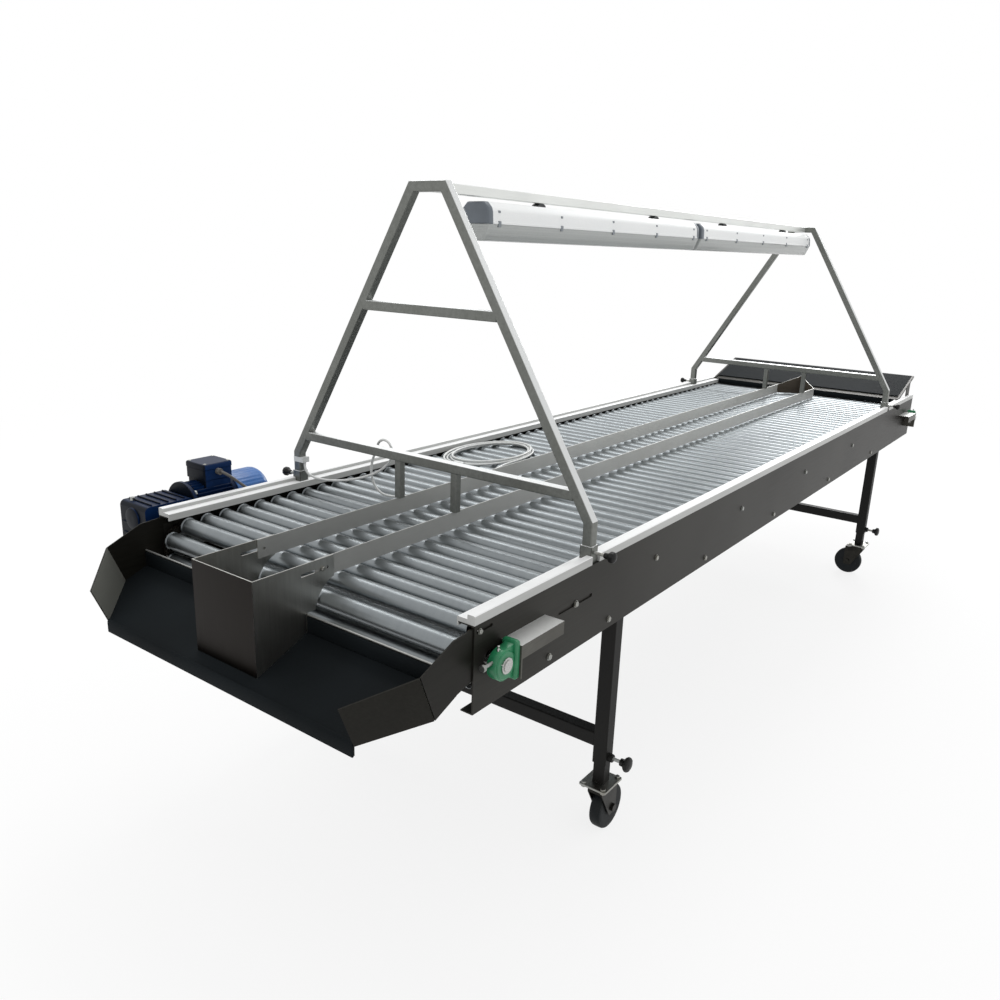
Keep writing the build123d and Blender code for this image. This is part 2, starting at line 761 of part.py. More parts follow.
def make_lanes():
    """Save the two divider plates, the discharge box and the flow splitter."""
    x_bolt = front - box_bolt_ahead
    z_slot = divider_top - box_slot_drop
    y0 = divider_offset - divider_sheet / 2
    y1 = divider_offset + divider_sheet / 2
    y2 = y1 + box_sheet
    x_front = front - box_ahead
    x_rear = front + box_rear_setback
    flange_top = floor_z(chute_rear_ahead) + chute_rear_flange
    foot = chute_rear_ahead + chute_sheet + bed_clearance
    outline = [(x_front, floor_z(box_ahead)), (front - foot, floor_z(foot)),
               (front - foot, flange_top + bed_clearance), (x_rear, flange_top + bed_clearance),
               (x_rear, divider_top), (x_front, divider_top)]
    dividers = []
    box = [block(x_front - box_sheet, x_front, -y2, y2, floor_z(box_ahead), divider_top)]
    for side in sides:
        plate = block(front - divider_ahead, rear - divider_end_inset, side * y0, side * y1,
                      divider_bottom, divider_top)
        dividers.append(plate - rod_y(x_bolt, z_slot, box_bolt / 2 + bolt_hole_gap, side * y0, side * y1))
        cheek = plate_xz(outline, side * y1, side * y2)
        reach = pitch_radius + roller_diameter / 2 + bed_clearance
        cheek -= rod_y(drive_x, shaft_z, reach, side * y1, side * y2)
        slot_x = front - box_slot_front
        cheek -= slot_y(slot_x, slot_x + box_slot_length, z_slot, box_slot_width, side * y1, side * y2)
        box.append(cheek)
    save("lane_dividers", dividers)
    save("discharge_box", box)
    start = rear - divider_end_inset
    apex = start + splitter_length
    wedge = []
    for side in sides:
        slant = sqrt(splitter_length ** 2 + y0 ** 2)
        out = (box_sheet * y0 / slant, side * box_sheet * splitter_length / slant, 0)
        quad = [(start, side * y0, divider_bottom), (start, side * y0, divider_top),
                (apex, 0, divider_top + splitter_rise), (apex, 0, divider_bottom)]
        wedge.append(prism(quad, out))
    save("flow_splitter", wedge)


def make_chute():
    """Save the chute's floor, lining and folded wings."""
    normal = Vector(-sin(radians(chute_angle)), 0, cos(radians(chute_angle)))
    inner = web_inner - wing_sheet

    def on_floor(ahead, y, depth):
        point = Vector(front - ahead, y, floor_z(ahead)) - normal * depth
        return point.X, point.Y, point.Z

    def sheet(depth, thickness):
        half = [(chute_rear_ahead, inner), (chute_fold_ahead, inner), (chute_front_ahead, chute_front_half)]
        ring = half + [(a, -y) for a, y in reversed(half)]
        way = normal * thickness
        solid = prism([on_floor(a, y, depth) for a, y in ring], (way.X, way.Y, way.Z))
        reject = divider_offset - divider_sheet / 2 - reject_margin
        low = floor_z(chute_front_ahead) - chute_lip
        high = floor_z(chute_rear_ahead) + chute_rear_flange
        x0 = front - box_ahead + reject_margin
        return solid - block(x0, front - reject_ahead_rear, -reject, reject, low, high)

    under = chute_lining + chute_sheet
    floor = sheet(under, chute_sheet)
    x_rear = front - chute_rear_ahead
    z_rear = floor_z(chute_rear_ahead)
    floor += block(x_rear - chute_sheet, x_rear, -inner, inner, z_rear - under, z_rear + chute_rear_flange)
    x_front, _, z_front = on_floor(chute_front_ahead, 0, chute_lining)
    half = chute_front_half
    floor += block(x_front, x_front + chute_sheet, -half, half, z_front - chute_lip, z_front)
    save("chute_floor", [floor])
    lining = sheet(chute_lining, chute_lining)
    lining -= block(x_rear - chute_sheet, x_rear + chute_lining, -inner, inner, z_rear - under, panel_top)
    wings = []
    top = panel_top - wing_top_gap
    for side in sides:
        fold = on_floor(chute_fold_ahead, side * inner, under)
        corner = on_floor(chute_fold_ahead, side * inner, -wing_front_height)
        low = on_floor(chute_front_ahead, side * chute_front_half, under)
        high = on_floor(chute_front_ahead, side * chute_front_half, -flap_front_height)
        outline = [(front + wing_tab, top), (front + wing_tab, top - wing_tab_height),
                   (front, top - wing_tab_height), (x_rear, floor_z(chute_rear_ahead) - under),
                   (fold[0], fold[2]), (corner[0], corner[2]),
                   (front - wing_shoulder_ahead, top - wing_shoulder_drop), (front, top)]
        wing = plate_xz(outline, side * inner, side * web_inner)
        x = front + wing_bolt_setback
        wing -= rod_y(x, wing_bolt_z, box_bolt / 2 + bolt_hole_gap, side * inner, side * web_inner)
        wings.append(wing)
        edge = Vector(*low) - Vector(*fold)
        out = edge.cross(normal).normalized() * wing_sheet
        out = out if out.X < 0 else -out
        wings.append(prism([fold, corner, high, low], (out.X, out.Y, out.Z)))
    save("chute_wings", wings)
    return lining


def make_infeed():
    """Save the sloping infeed board and return its lining."""
    angle = radians(infeed_angle)
    along = Vector(cos(angle), 0, sin(angle))
    normal = Vector(-sin(angle), 0, cos(angle))
    start = Vector(rear - infeed_inset, 0, panel_top + rail_lip_height + infeed_gap)
    half = half_width - rail_block_width - infeed_side_gap

    def slab(s0, s1, y0, y1, d0, d1):
        a, b = start + along * s0, start + along * s1
        quad = [a + normal * d0, b + normal * d0, b + normal * d1, a + normal * d1]
        return plate_xz([(p.X, p.Z) for p in quad], y0, y1)

    board = [slab(0, infeed_length, -half, half, 0, infeed_sheet)]
    strip = half - infeed_edge_strip
    for side in sides:
        lined = infeed_sheet + infeed_lining
        board.append(slab(0, infeed_length, side * strip, side * half, infeed_sheet, lined))
        y1 = half - infeed_bracket_inset
        x0, x1 = rear - infeed_bracket_length, rear
        z0 = start.Z + (x0 - start.X) * tan(angle)
        z1 = start.Z + (x1 - start.X) * tan(angle)
        shape = [(x0, panel_top), (x1, panel_top), (x1, z1), (x0, z0)]
        board.append(plate_xz(shape, side * (y1 - infeed_sheet), side * y1))
    save("infeed_board", board)
    lining = slab(infeed_bare_strip, infeed_length, -strip, strip, infeed_sheet, infeed_sheet + infeed_lining)
    return lining


# Lamp frames and lamps

def frame_side(side):
    """Return the outer and inner corner points of one leg: foot, knee and top, as (y, z)."""
    rise = frame_top - frame_knee
    run = foot_outer - frame_top_half
    slant = sqrt(rise ** 2 + run ** 2)
    knee_drop = frame_tube * (slant - rise) / run
    top_draw = frame_tube * (slant - run) / rise
    outer = [(foot_outer, panel_top), (foot_outer, frame_knee), (frame_top_half, frame_top)]
    inner = [(foot_inner, panel_top), (foot_inner, frame_knee - knee_drop),
             (frame_top_half - top_draw, frame_top - frame_tube)]
    return [(side * y, z) for y, z in outer], [(side * y, z) for y, z in inner]


def tube_solid(x, outer, inner):
    """Return a square tube between two end lines, each given by its outer and inner corner."""
    half = frame_tube / 2
    wall = frame_wall / frame_tube
    solid = plate_yz([outer[0], outer[1], inner[1], inner[0]], x - half, x + half)

    def between(a, b, share):
        return a[0] + (b[0] - a[0]) * share, a[1] + (b[1] - a[1]) * share

    core = [between(outer[0], inner[0], wall), between(outer[1], inner[1], wall),
            between(outer[1], inner[1], 1 - wall), between(outer[0], inner[0], 1 - wall)]
    return solid - plate_yz(core, x - half + frame_wall, x + half - frame_wall)


def lamp_frame(x, bars):
    """Return the straight tubes of one lamp frame with level bars at the given heights."""
    tubes = []
    ends = []
    inner_line = []
    for side in sides:
        outer, inner = frame_side(side)
        tubes.append(tube_solid(x, outer[:2], inner[:2]))
        tubes.append(tube_solid(x, outer[1:], inner[1:]))
        ends.append((outer[2], inner[2]))
        inner_line.append((inner[1], inner[2]))
    (o0, i0), (o1, i1) = ends
    tubes.append(tube_solid(x, (o0, o1), (i0, i1)))

    def reach(z):
        (ya, za), (yb, zb) = inner_line[1]
        return ya + (yb - ya) * (z - za) / (zb - za)

    for z in bars:
        low, high = reach(z), reach(z + frame_tube)
        tubes.append(tube_solid(x, ((-high, z + frame_tube), (high, z + frame_tube)), ((-low, z), (low, z))))
    half = strut_width / 2
    for side in sides:
        y = side * divider_offset
        strut = block(x - half, x + half, y - half, y + half, divider_top, low_bar_bottom)
        core = half - frame_wall
        tubes.append(strut - block(x - core, x + core, y - core, y + core, divider_top, low_bar_bottom))
    return tubes


def lamp_outline(inset):
    """Return the lamp's six-cornered section as (y, z), drawn in by a wall."""
    half = [(lamp_top_half, lamp_top), (lamp_half, lamp_top - lamp_shoulder),
            (lamp_half, lamp_top - lamp_waist), (lamp_bottom_half, lamp_top - lamp_height)]
    points = half + [(-y, z) for y, z in reversed(half)]
    if inset == 0:
        return points
    outline = Wire.make_polygon([Vector(y, z, 0) for y, z in points], close=True)
    small = outline.offset_2d(-inset, kind=Kind.INTERSECTION)
    return [((e @ 0).X, (e @ 0).Y) for e in small.order_edges()]


def make_lamps():
    """Save the two lamps: trays, diffusers, end caps, tubes, hangers and latches."""
    trays, diffusers, caps, tubes, clips = [], [], [], [], []
    split = lamp_top - lamp_split
    bottom = lamp_top - lamp_height
    for number in range(2):
        x0 = lamp_front + number * (lamp_length + lamp_space)
        x1 = x0 + lamp_length
        caps.append(plate_yz(lamp_outline(0), x0, x0 + lamp_cap))
        caps.append(plate_yz(lamp_outline(0), x1 - lamp_cap, x1))
        shell = plate_yz(lamp_outline(0), x0 + lamp_cap, x1 - lamp_cap)
        shell -= plate_yz(lamp_outline(lamp_wall), x0 + lamp_cap, x1 - lamp_cap)
        wide = lamp_half + 1
        upper = block(x0, x1, -wide, wide, split, lamp_top + 1)
        lower = block(x0, x1, -wide, wide, bottom - 1, split)
        tray = shell & upper
        tube_z = lamp_top - lamp_tube_drop
        tube_r = lamp_tube_diameter / 2
        holder_z = tube_z - tube_r
        for a in (x0 + lamp_cap, x1 - lamp_cap - lamp_holder):
            tray += block(a, a + lamp_holder, -tube_r, tube_r, holder_z, lamp_top - lamp_wall / 2)
        trays.append(tray)
        diffusers.append(shell & lower)
        tubes.append(rod_x(0, tube_z, tube_r, x0 + lamp_cap + lamp_holder, x1 - lamp_cap - lamp_holder))
        middle = (x0 + x1) / 2
        for side in sides:
            x = middle + side * hanger_spread
            long, wide = hanger_length / 2, hanger_width / 2
            clips.append(block(x - long, x + long, -wide, wide, lamp_top, lamp_top + lamp_drop))
            for k in range(latches_per_side):
                x = middle + (k - (latches_per_side - 1) / 2) * latch_spacing
                y = side * lamp_half
                clips.append(block(x - latch_width / 2, x + latch_width / 2, y, y + side * latch_thickness,
                                   split - latch_below, split + latch_above))
    save("lamp_trays", trays)
    save("lamp_diffusers", diffusers)
    save("lamp_end_caps", caps)
    save("lamp_tubes", tubes)
    save("lamp_clips", clips)


def make_frames():
    """Save the front and rear lamp frames and the beam between them."""
    save("front_lamp_frame", lamp_frame(frame_xs[0], (mid_bar_bottom, low_bar_bottom)))
    save("rear_lamp_frame", lamp_frame(frame_xs[1], (low_bar_bottom,)))
    half = frame_tube / 2
    core = half - frame_wall
    z = frame_top - half
    x0, x1 = frame_xs[0] + half, frame_xs[1] - half
    beam = block(x0, x1, -half, half, z - half, z + half)
    save("lamp_beam", [beam - block(x0, x1, -core, core, z - core, z + core)])


# Legs, castors and knobs

def leg_tubes():
    """Return the fixed leg tubes, their cross bars and the clamp knobs' threaded bosses."""
    parts = []
    half = leg_tube / 2
    core = half - leg_wall
    hole = leg_knob_stud / 2 + running_gap
    for x in leg_xs:
        for side in sides:
            y = side * leg_middle
            leg = block(x - half, x + half, y - half, y + half, leg_bottom, panel_bottom)
            leg -= block(x - core, x + core, y - core, y + core, leg_bottom, panel_bottom)
            wall = side * half_width
            leg -= rod_y(x, leg_knob_height, hole, y, wall)
            boss = rod_y(x, leg_knob_height, leg_boss_radius, wall, wall + side * leg_boss_length)
            parts.append(boss - rod_y(x, leg_knob_height, hole, wall, wall + side * leg_boss_length))
            parts.append(leg)
        inner = leg_middle - half
        top = cross_bar_bottom + leg_tube
        bar = block(x - half, x + half, -inner, inner, cross_bar_bottom, top)
        low, high = cross_bar_bottom + leg_wall, top - leg_wall
        parts.append(bar - block(x - core, x + core, -inner, inner, low, high))
    return parts


def inner_leg_parts(x, y):
    """Return one sliding inner leg with the castor's top plate and its four bolts."""
    half = inner_leg / 2
    core = half - leg_wall
    leg = block(x - half, x + half, y - half, y + half, castor_height, castor_height + inner_leg_length)
    leg -= block(x - core, x + core, y - core, y + core, castor_height, castor_height + inner_leg_length)
    length, width = castor_plate_length / 2, castor_plate_width / 2
    plate = block(x - length, x + length, y - width, y + width, castor_height - castor_plate, castor_height)
    under = castor_height - castor_plate
    bolts = []
    for dx in (-castor_bolt_spread_x / 2, castor_bolt_spread_x / 2):
        for dy in (-castor_bolt_spread_y / 2, castor_bolt_spread_y / 2):
            plate -= rod_z(x + dx, y + dy, castor_bolt / 2 + bolt_hole_gap, under, castor_height)
            bolt = rod_z(x + dx, y + dy, castor_bolt / 2, under, castor_height)
            wide = castor_bolt * bolt_head_ratio / 2
            bolt += rod_z(x + dx, y + dy, wide, under - bolt_head_height, under)
            bolts.append(bolt + rod_z(x + dx, y + dy, wide, castor_height, castor_height + bolt_head_height))
    return [leg, plate] + bolts


def castor_fork(x, y, turn):
    """Return the swivelling fork with its axle bolt, turned about the leg's axis."""
    top = castor_height - castor_plate - swivel_gap
    wheel_top = wheel_diameter
    bridge = wheel_top + fork_wheel_gap
    in_y = wheel_tread / 2 + fork_side_gap
    out_y = in_y + fork_plate
    axle_z = wheel_diameter / 2
    nose = fork_nose
    fork = rod_z(0, 0, swivel_radius, bridge, top)
    fork += block(-swivel_radius, castor_trail + nose, -out_y, out_y, bridge, bridge + fork_top)
    outline = [(-swivel_radius, bridge + fork_top), (-swivel_radius, bridge),
               (castor_trail - nose, axle_z - nose), (castor_trail + nose, axle_z - nose),
               (castor_trail + nose, bridge + fork_top)]
    bolt = rod_y(castor_trail, axle_z, castor_axle / 2, -out_y - fork_plate, out_y + fork_plate)
    for side in sides:
        fork += plate_xz(outline, side * in_y, side * out_y)
    fork -= rod_y(castor_trail, axle_z, castor_axle / 2 + running_gap, -out_y, out_y)
    for side in sides:
        head = side * (out_y + fork_plate * 2)
        bolt += rod_y(castor_trail, axle_z, castor_axle * bolt_head_ratio / 2, side * out_y, head)
    return [Pos(x, y, 0) * Rot(0, 0, turn) * part for part in (fork, bolt)]


def castor_wheel(x, y, turn):
    """Return one castor wheel with a rounded tread."""
    radius = wheel_diameter / 2
    half = wheel_tread / 2
    step = wheel_edge_round
    bore = castor_axle / 2 + running_gap
    outline = [(bore, -half), (radius - step, -half), (radius, -half + step),
               (radius, half - step), (radius - step, half), (bore, half)]
    wheel = Pos(castor_trail, 0, radius) * turned(outline)
    return [Pos(x, y, 0) * Rot(0, 0, turn) * wheel]


def knob(side, x, z, tip, neck, stud, radius, thickness, dome):
    """Return a clamp knob: a stud from its tip to its neck and a domed head outside."""
    outline = [(0, tip), (stud / 2, tip), (stud / 2, neck), (radius - dome, neck), (radius, neck + dome),
               (radius, neck + thickness - dome), (radius - dome, neck + thickness), (0, neck + thickness)]
    return Pos(x, 0, z) * turned([(r, side * y) for r, y in outline])


def make_stand():
    """Save the legs, castors and all clamp knobs, corner by corner."""
    save("leg_frames", leg_tubes())
    for end, x, frame_x in (("front", leg_xs[0], frame_xs[0]), ("rear", leg_xs[1], frame_xs[1])):
        for name, side in (("near", -1), ("far", 1)):
            corner = end + "_" + name
            turn = castor_rear_near_turn if corner == "rear_near" else castor_turn
            y = side * leg_middle
            save(corner + "_inner_leg", inner_leg_parts(x, y))
            save(corner + "_castor_fork", castor_fork(x, y, turn))
            save(corner + "_castor_wheel", castor_wheel(x, y, turn))
            tip = leg_middle + inner_leg / 2 + knob_tip_gap
            neck = half_width + leg_boss_length + leg_knob_reach
            save(corner + "_leg_knob", [knob(side, x, leg_knob_height, tip, neck, leg_knob_stud,
                                             leg_knob_radius, leg_knob_thickness, leg_knob_dome)])
            tip = foot_outer + knob_tip_gap
            neck = half_width + frame_knob_reach
            z = panel_top + frame_knob_height
            save(corner + "_frame_knob", [knob(side, frame_x, z, tip, neck, frame_knob_stud,
                                               frame_knob_radius, frame_knob_thickness, frame_knob_dome)])


# Leads, glands and plug

def lead_tube(points, diameter):
    """Return a lead along hand-set points, with each corner as round as its runs allow."""
    corners = [Vector(*p) for p in points]
    radii = []
    for a, b, c in zip(corners, corners[1:], corners[2:]):
        turn = radians((b - a).get_angle(c - b))
        radii.append(0.45 * min((b - a).length, (c - b).length) / tan(turn / 2))
    path = FilletPolyline(*corners, radius=radii)
    section = Plane(path @ 0, z_dir=path % 0) * Circle(diameter / 2)
    tube = sweep(section, path)
    print("lead radii", [round(r) for r in radii], "length", round(path.length))
    print("lead volume share", round(tube.volume / (pi * diameter ** 2 / 4 * path.length), 4))
    return tube


def coil_stops():
    """Return the coil's quarter-turn stops as (point, heading), from the lead's end to the plug's back."""
    low = bed_top + lead_bed_gap + lamp_lead_diameter / 2
    high = low + lamp_lead_diameter + coil_layer_gap
    middle_x, middle_y = front + coil_centre[0], coil_centre[1]
    ways = (Vector(1, 0, 0), Vector(0, 1, 0), Vector(-1, 0, 0), Vector(0, -1, 0))

    def stop(quarter, drawn_in, z, left_extra):
        side = coil_half_width - coil_side_step * drawn_in
        right = coil_half_length - coil_right_step * drawn_in
        left = coil_half_length - coil_left_step * drawn_in - left_extra
        offsets = ((0, -side), (right, 0), (0, side), (-left, 0))
        dx, dy = offsets[quarter % 4]
        return Vector(middle_x + dx, middle_y + dy, z), ways[quarter % 4]

    turns = coil_turns_per_layer
    quarters = 4 * turns
    stops = [stop(q, q / 4, low, 0) for q in range(quarters + 1)]
    stops.append(stop(quarters + 1, turns, (low + high) / 2, 0))
    stops.append(stop(quarters + 2, turns, high, 0))
    out = 4 * (turns - 1) + 1
    for q in range(1, out):
        stops.append(stop(quarters + 2 + q, turns * (1 - q / out), high, coil_interleave))
    stops.append(stop(quarters + 2 + out, 0, high, -coil_flare))
    return stops


def coil_path():
    """Return the coil's centre line: a straight end, two tangent arcs a quarter turn, a straight end."""
    stops = coil_stops()
    point, way = stops[0]
    edges = [Line(point - way * lamp_lead_diameter, point)]
    for (p, a), (q, b) in zip(stops, stops[1:]):
        span = q - p
        both = a + b
        lead = 1 - a.dot(b)
        half = span.dot(both)
        reach = (-half + sqrt(half * half + 2 * lead * span.dot(span))) / (2 * lead)
        near, far = p + a * reach, q - b * reach
        join = (near + far) * 0.5
        edges.append(TangentArc(p, join, tangent=a))
        edges.append(TangentArc(join, q, tangent=(far - near).normalized()))
    point, way = stops[-1]
    edges.append(Line(point, point + way * lamp_lead_diameter))
    return Wire([e for item in edges for e in item.edges()])


def coil_gap(path):
    """Return the least clear gap between stretches of the coil that aren't neighbours."""
    count = 400
    samples = [path @ (k / count) for k in range(count + 1)]
    apart = int(count * 0.12)
    gaps = [(samples[i] - samples[j]).length for i in range(count) for j in range(i + apart, count + 1)]
    return min(gaps) - lamp_lead_diameter


def lamp_lead_points():
    """Return the hanging lead's points: from the clip, over its loop, down and along the bed."""
    clip_y = foot_inner - clip_depth / 2
    bed = bed_top + lead_bed_gap + lamp_lead_diameter / 2
    first, way = coil_stops()[0]
    last = first - way * lamp_lead_diameter
    start = [(frame_xs[0], clip_y, clip_height), (frame_xs[0], clip_y, clip_height - clip_drop)]
    lay = [(front + x, y, bed + rise) for x, y, rise in lamp_lead_route]
    return start + lay + [(last.X, last.Y, last.Z)]


motor_gland_place = (motor_x + motor_flange + terminal_offset + motor_gland_offset - terminal_length / 2,
                     worm_z + motor_radius + terminal_pad + terminal_height - motor_gland_drop)
panel_gland_place = (motor_gland_place[0] + panel_gland_offset, panel_top - panel_gland_drop)
wing_bolt_z = panel_top - wing_top_gap - wing_tab_height / 2


def motor_lead_points():
    """Return the motor lead's points, from the terminal box's gland to the one in the far panel."""
    x0, z0 = motor_gland_place
    x1, z1 = panel_gland_place
    y0 = gear_y - terminal_width / 2 - gland_length
    y1 = half_width + panel_gland_depth / 2
    lay = [(x0 + x, y0 + y, z0 + z) for x, y, z in motor_lead_route]
    return [(x0, y0, z0)] + lay + [(x1, y1, z1 + motor_lead_end), (x1, y1, z1)]


def make_leads():
    """Save the leads, the lamp lead's coil and plug, the glands and the lead's clip."""
    save("motor_lead", [lead_tube(motor_lead_points(), motor_lead_diameter)])
    save("lamp_lead", [lead_tube(lamp_lead_points(), lamp_lead_diameter)])
    path = coil_path()
    section = Plane(path @ 0, z_dir=path % 0) * Circle(lamp_lead_diameter / 2)
    coil = sweep(section, path)
    print("coil least gap", round(coil_gap(path), 2), "length", round(path.length))
    print("coil volume share", round(coil.volume / (pi * lamp_lead_diameter ** 2 / 4 * path.length), 4))
    save("lamp_lead_coil", [coil])

    end = path @ 1
    back = end.Y - plug_length
    neck = lamp_lead_diameter / 2 + plug_neck_wall
    outline = [(0, 0), (neck, 0), (plug_radius, -plug_taper), (plug_radius, -plug_length), (0, -plug_length)]
    plug = Pos(end.X, end.Y, end.Z) * turned(outline)
    for side in sides:
        x = end.X + side * plug_pin_spread / 2
        plug += rod_y(x, end.Z, plug_pin_radius, back - plug_pin_length, back + plug_pin_radius)
    save("lamp_plug", [plug])

    x0, z0 = motor_gland_place
    x1, z1 = panel_gland_place
    bore = motor_lead_diameter / 2
    box_face = gear_y - terminal_width / 2
    glands = [rod_y(x0, z0, gland_radius, box_face - gland_length, box_face),
              block(x1 - panel_gland_width / 2, x1 + panel_gland_width / 2, half_width,
                    half_width + panel_gland_depth, z1 - panel_gland_height, z1)]
    glands[0] -= rod_y(x0, z0, bore, box_face - gland_bore, box_face)
    middle = z1 - panel_gland_height / 2
    glands[1] -= rod_y(x1, middle, bore, half_width, half_width + gland_bore)
    half = frame_tube / 2
    clip_y = foot_inner - clip_depth
    x = frame_xs[0]
    clip = block(x - half, x + half, clip_y, foot_inner, clip_height, clip_height + clip_length)
    save("cable_glands", glands + [clip])


def make_fasteners(bearing_screws):
    """Save the panel bolts, the divider bolts and the bearing screws as one group."""
    bolts = list(bearing_screws)
    for side in sides:
        for x, z, size, end in bolt_places():
            shank = rod_y(x, z, size / 2, side * end, side * half_width)
            wide = size * bolt_head_ratio / 2
            head = rod_y(x, z, wide, side * half_width, side * (half_width + bolt_head_height))
            bolts.append(shank + head)
        y0 = divider_offset - divider_sheet / 2
        y1 = divider_offset + divider_sheet / 2 + box_sheet
        x = front - box_bolt_ahead
        z = divider_top - box_slot_drop
        shank = rod_y(x, z, box_bolt / 2, side * y0, side * y1)
        head = rod_y(x, z, box_bolt * bolt_head_ratio / 2, side * y1, side * (y1 + bolt_head_height))
        bolts.append(shank + head)
    save("fasteners", bolts)


def main():
    """Build every node and write one STEP file for each."""
    make_panels()
    make_bed()
    screws = make_bearings()
    make_gearmotor()
    make_lanes()
    save("rubber_linings", [make_chute(), make_infeed()])
    make_frames()
    make_lamps()
    make_stand()
    make_leads()
    make_fasteners(screws)
    os.makedirs("parts", exist_ok=True)
    for name, shape in nodes.items():
        export_step(shape, "parts/" + name + ".step")
    print(len(nodes), "nodes")


main()
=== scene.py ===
from itertools import product
from math import cos, pi, radians, sin, tau

import bmesh
import bpy
import numpy as np
from bpy.props import FloatProperty, FloatVectorProperty, IntProperty, PointerProperty
from mathutils import Matrix, Vector


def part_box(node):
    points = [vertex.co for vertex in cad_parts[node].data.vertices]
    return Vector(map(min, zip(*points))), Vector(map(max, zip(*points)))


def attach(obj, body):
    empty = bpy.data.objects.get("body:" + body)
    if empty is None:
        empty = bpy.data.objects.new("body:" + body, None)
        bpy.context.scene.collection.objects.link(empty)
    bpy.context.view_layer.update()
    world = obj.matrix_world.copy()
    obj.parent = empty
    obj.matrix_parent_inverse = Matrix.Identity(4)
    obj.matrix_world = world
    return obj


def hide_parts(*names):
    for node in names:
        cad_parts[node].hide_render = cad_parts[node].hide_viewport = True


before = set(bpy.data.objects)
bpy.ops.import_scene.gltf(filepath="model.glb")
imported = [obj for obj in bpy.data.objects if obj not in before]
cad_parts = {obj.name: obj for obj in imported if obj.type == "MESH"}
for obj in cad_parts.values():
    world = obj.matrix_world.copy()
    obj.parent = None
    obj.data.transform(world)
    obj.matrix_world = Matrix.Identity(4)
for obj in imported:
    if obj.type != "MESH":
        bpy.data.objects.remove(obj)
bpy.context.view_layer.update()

bl_info = {
    "name": "Vegetable sorting conveyor",
    "version": (1, 0, 0),
    "blender": (4, 5, 0),
    "location": "3D View > Sidebar > Conveyor",
    "description": "Dresses a roller sorting conveyor with its visible surfaces, leads and stage",
    "category": "Object",
}


# Places in metres, from the solids where a box gives them

def box(node):
    """Return the lowest and the highest corner of a node at rest."""
    return [np.array(c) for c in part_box(node)]


def middle(node):
    """Return the middle of a node's box."""
    low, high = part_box(node)
    return np.array((low + high) / 2)


PANEL_LOW, PANEL_HIGH = box("near_side_panel")
FRONT = PANEL_LOW[0]
HALF_WIDTH = -PANEL_LOW[1]
DRIVE = middle("drive_shaft")
TAIL = middle("tail_shaft")
ORIGIN = (0, 0, 0)
SIDES = (-1, 1)  # near and far
CORNERS = ("front_near", "front_far", "rear_near", "rear_far")


def at(setback):
    """Return the X of a place given in millimetres behind the panels' front end."""
    return FRONT + setback / 1000


PITCH = 0.05715  # from roller to roller, three chain links
LINK = PITCH / 3
RUN = 63  # rollers in each straight run
TEETH = 18
PITCH_RADIUS = LINK / (2 * sin(pi / TEETH))
WRAPS = {"drive_end": (DRIVE, 90), "tail_end": (TAIL, -90)}  # shaft, and angle of the first axle round it
CHAIN_Y = 0.487

FOOT_Y, BEND_Z = 0.4935, 0.9095  # where a lamp frame's uprights start to lean in
TOP_Y, BEAM_Z = 0.0500, 1.6355  # where they meet its top
BAR_Z, UPPER_BAR_Z = 0.9655, 1.3485
LEG_Y = 0.495
BEARING_Y = HALF_WIDTH + 0.026
BEARINGS = ((-1, DRIVE, -1), (-1, TAIL, 1), (1, TAIL, 1))  # side, shaft, way its dome points along X
MOTOR_Y = 0.606
WORM_RISE = 0.063  # of the motor's axis over the drive shaft
CHUTE_X, LANE_Y = at(-48.5), 0.3045  # middle of a lane's edge at the chute
LAMPS, LAMP_LENGTH = (at(624), at(1921)), 1270  # front ends, and length in millimetres
BED_Z = 0.8070  # the lead's middle line where it lies on the rollers


# Finishes. Colours are sRGB hex or the name of a colour that a user can change, grain is the grain's width and
# bump its height in millimetres, and cloud is (colour, width in millimetres, share).

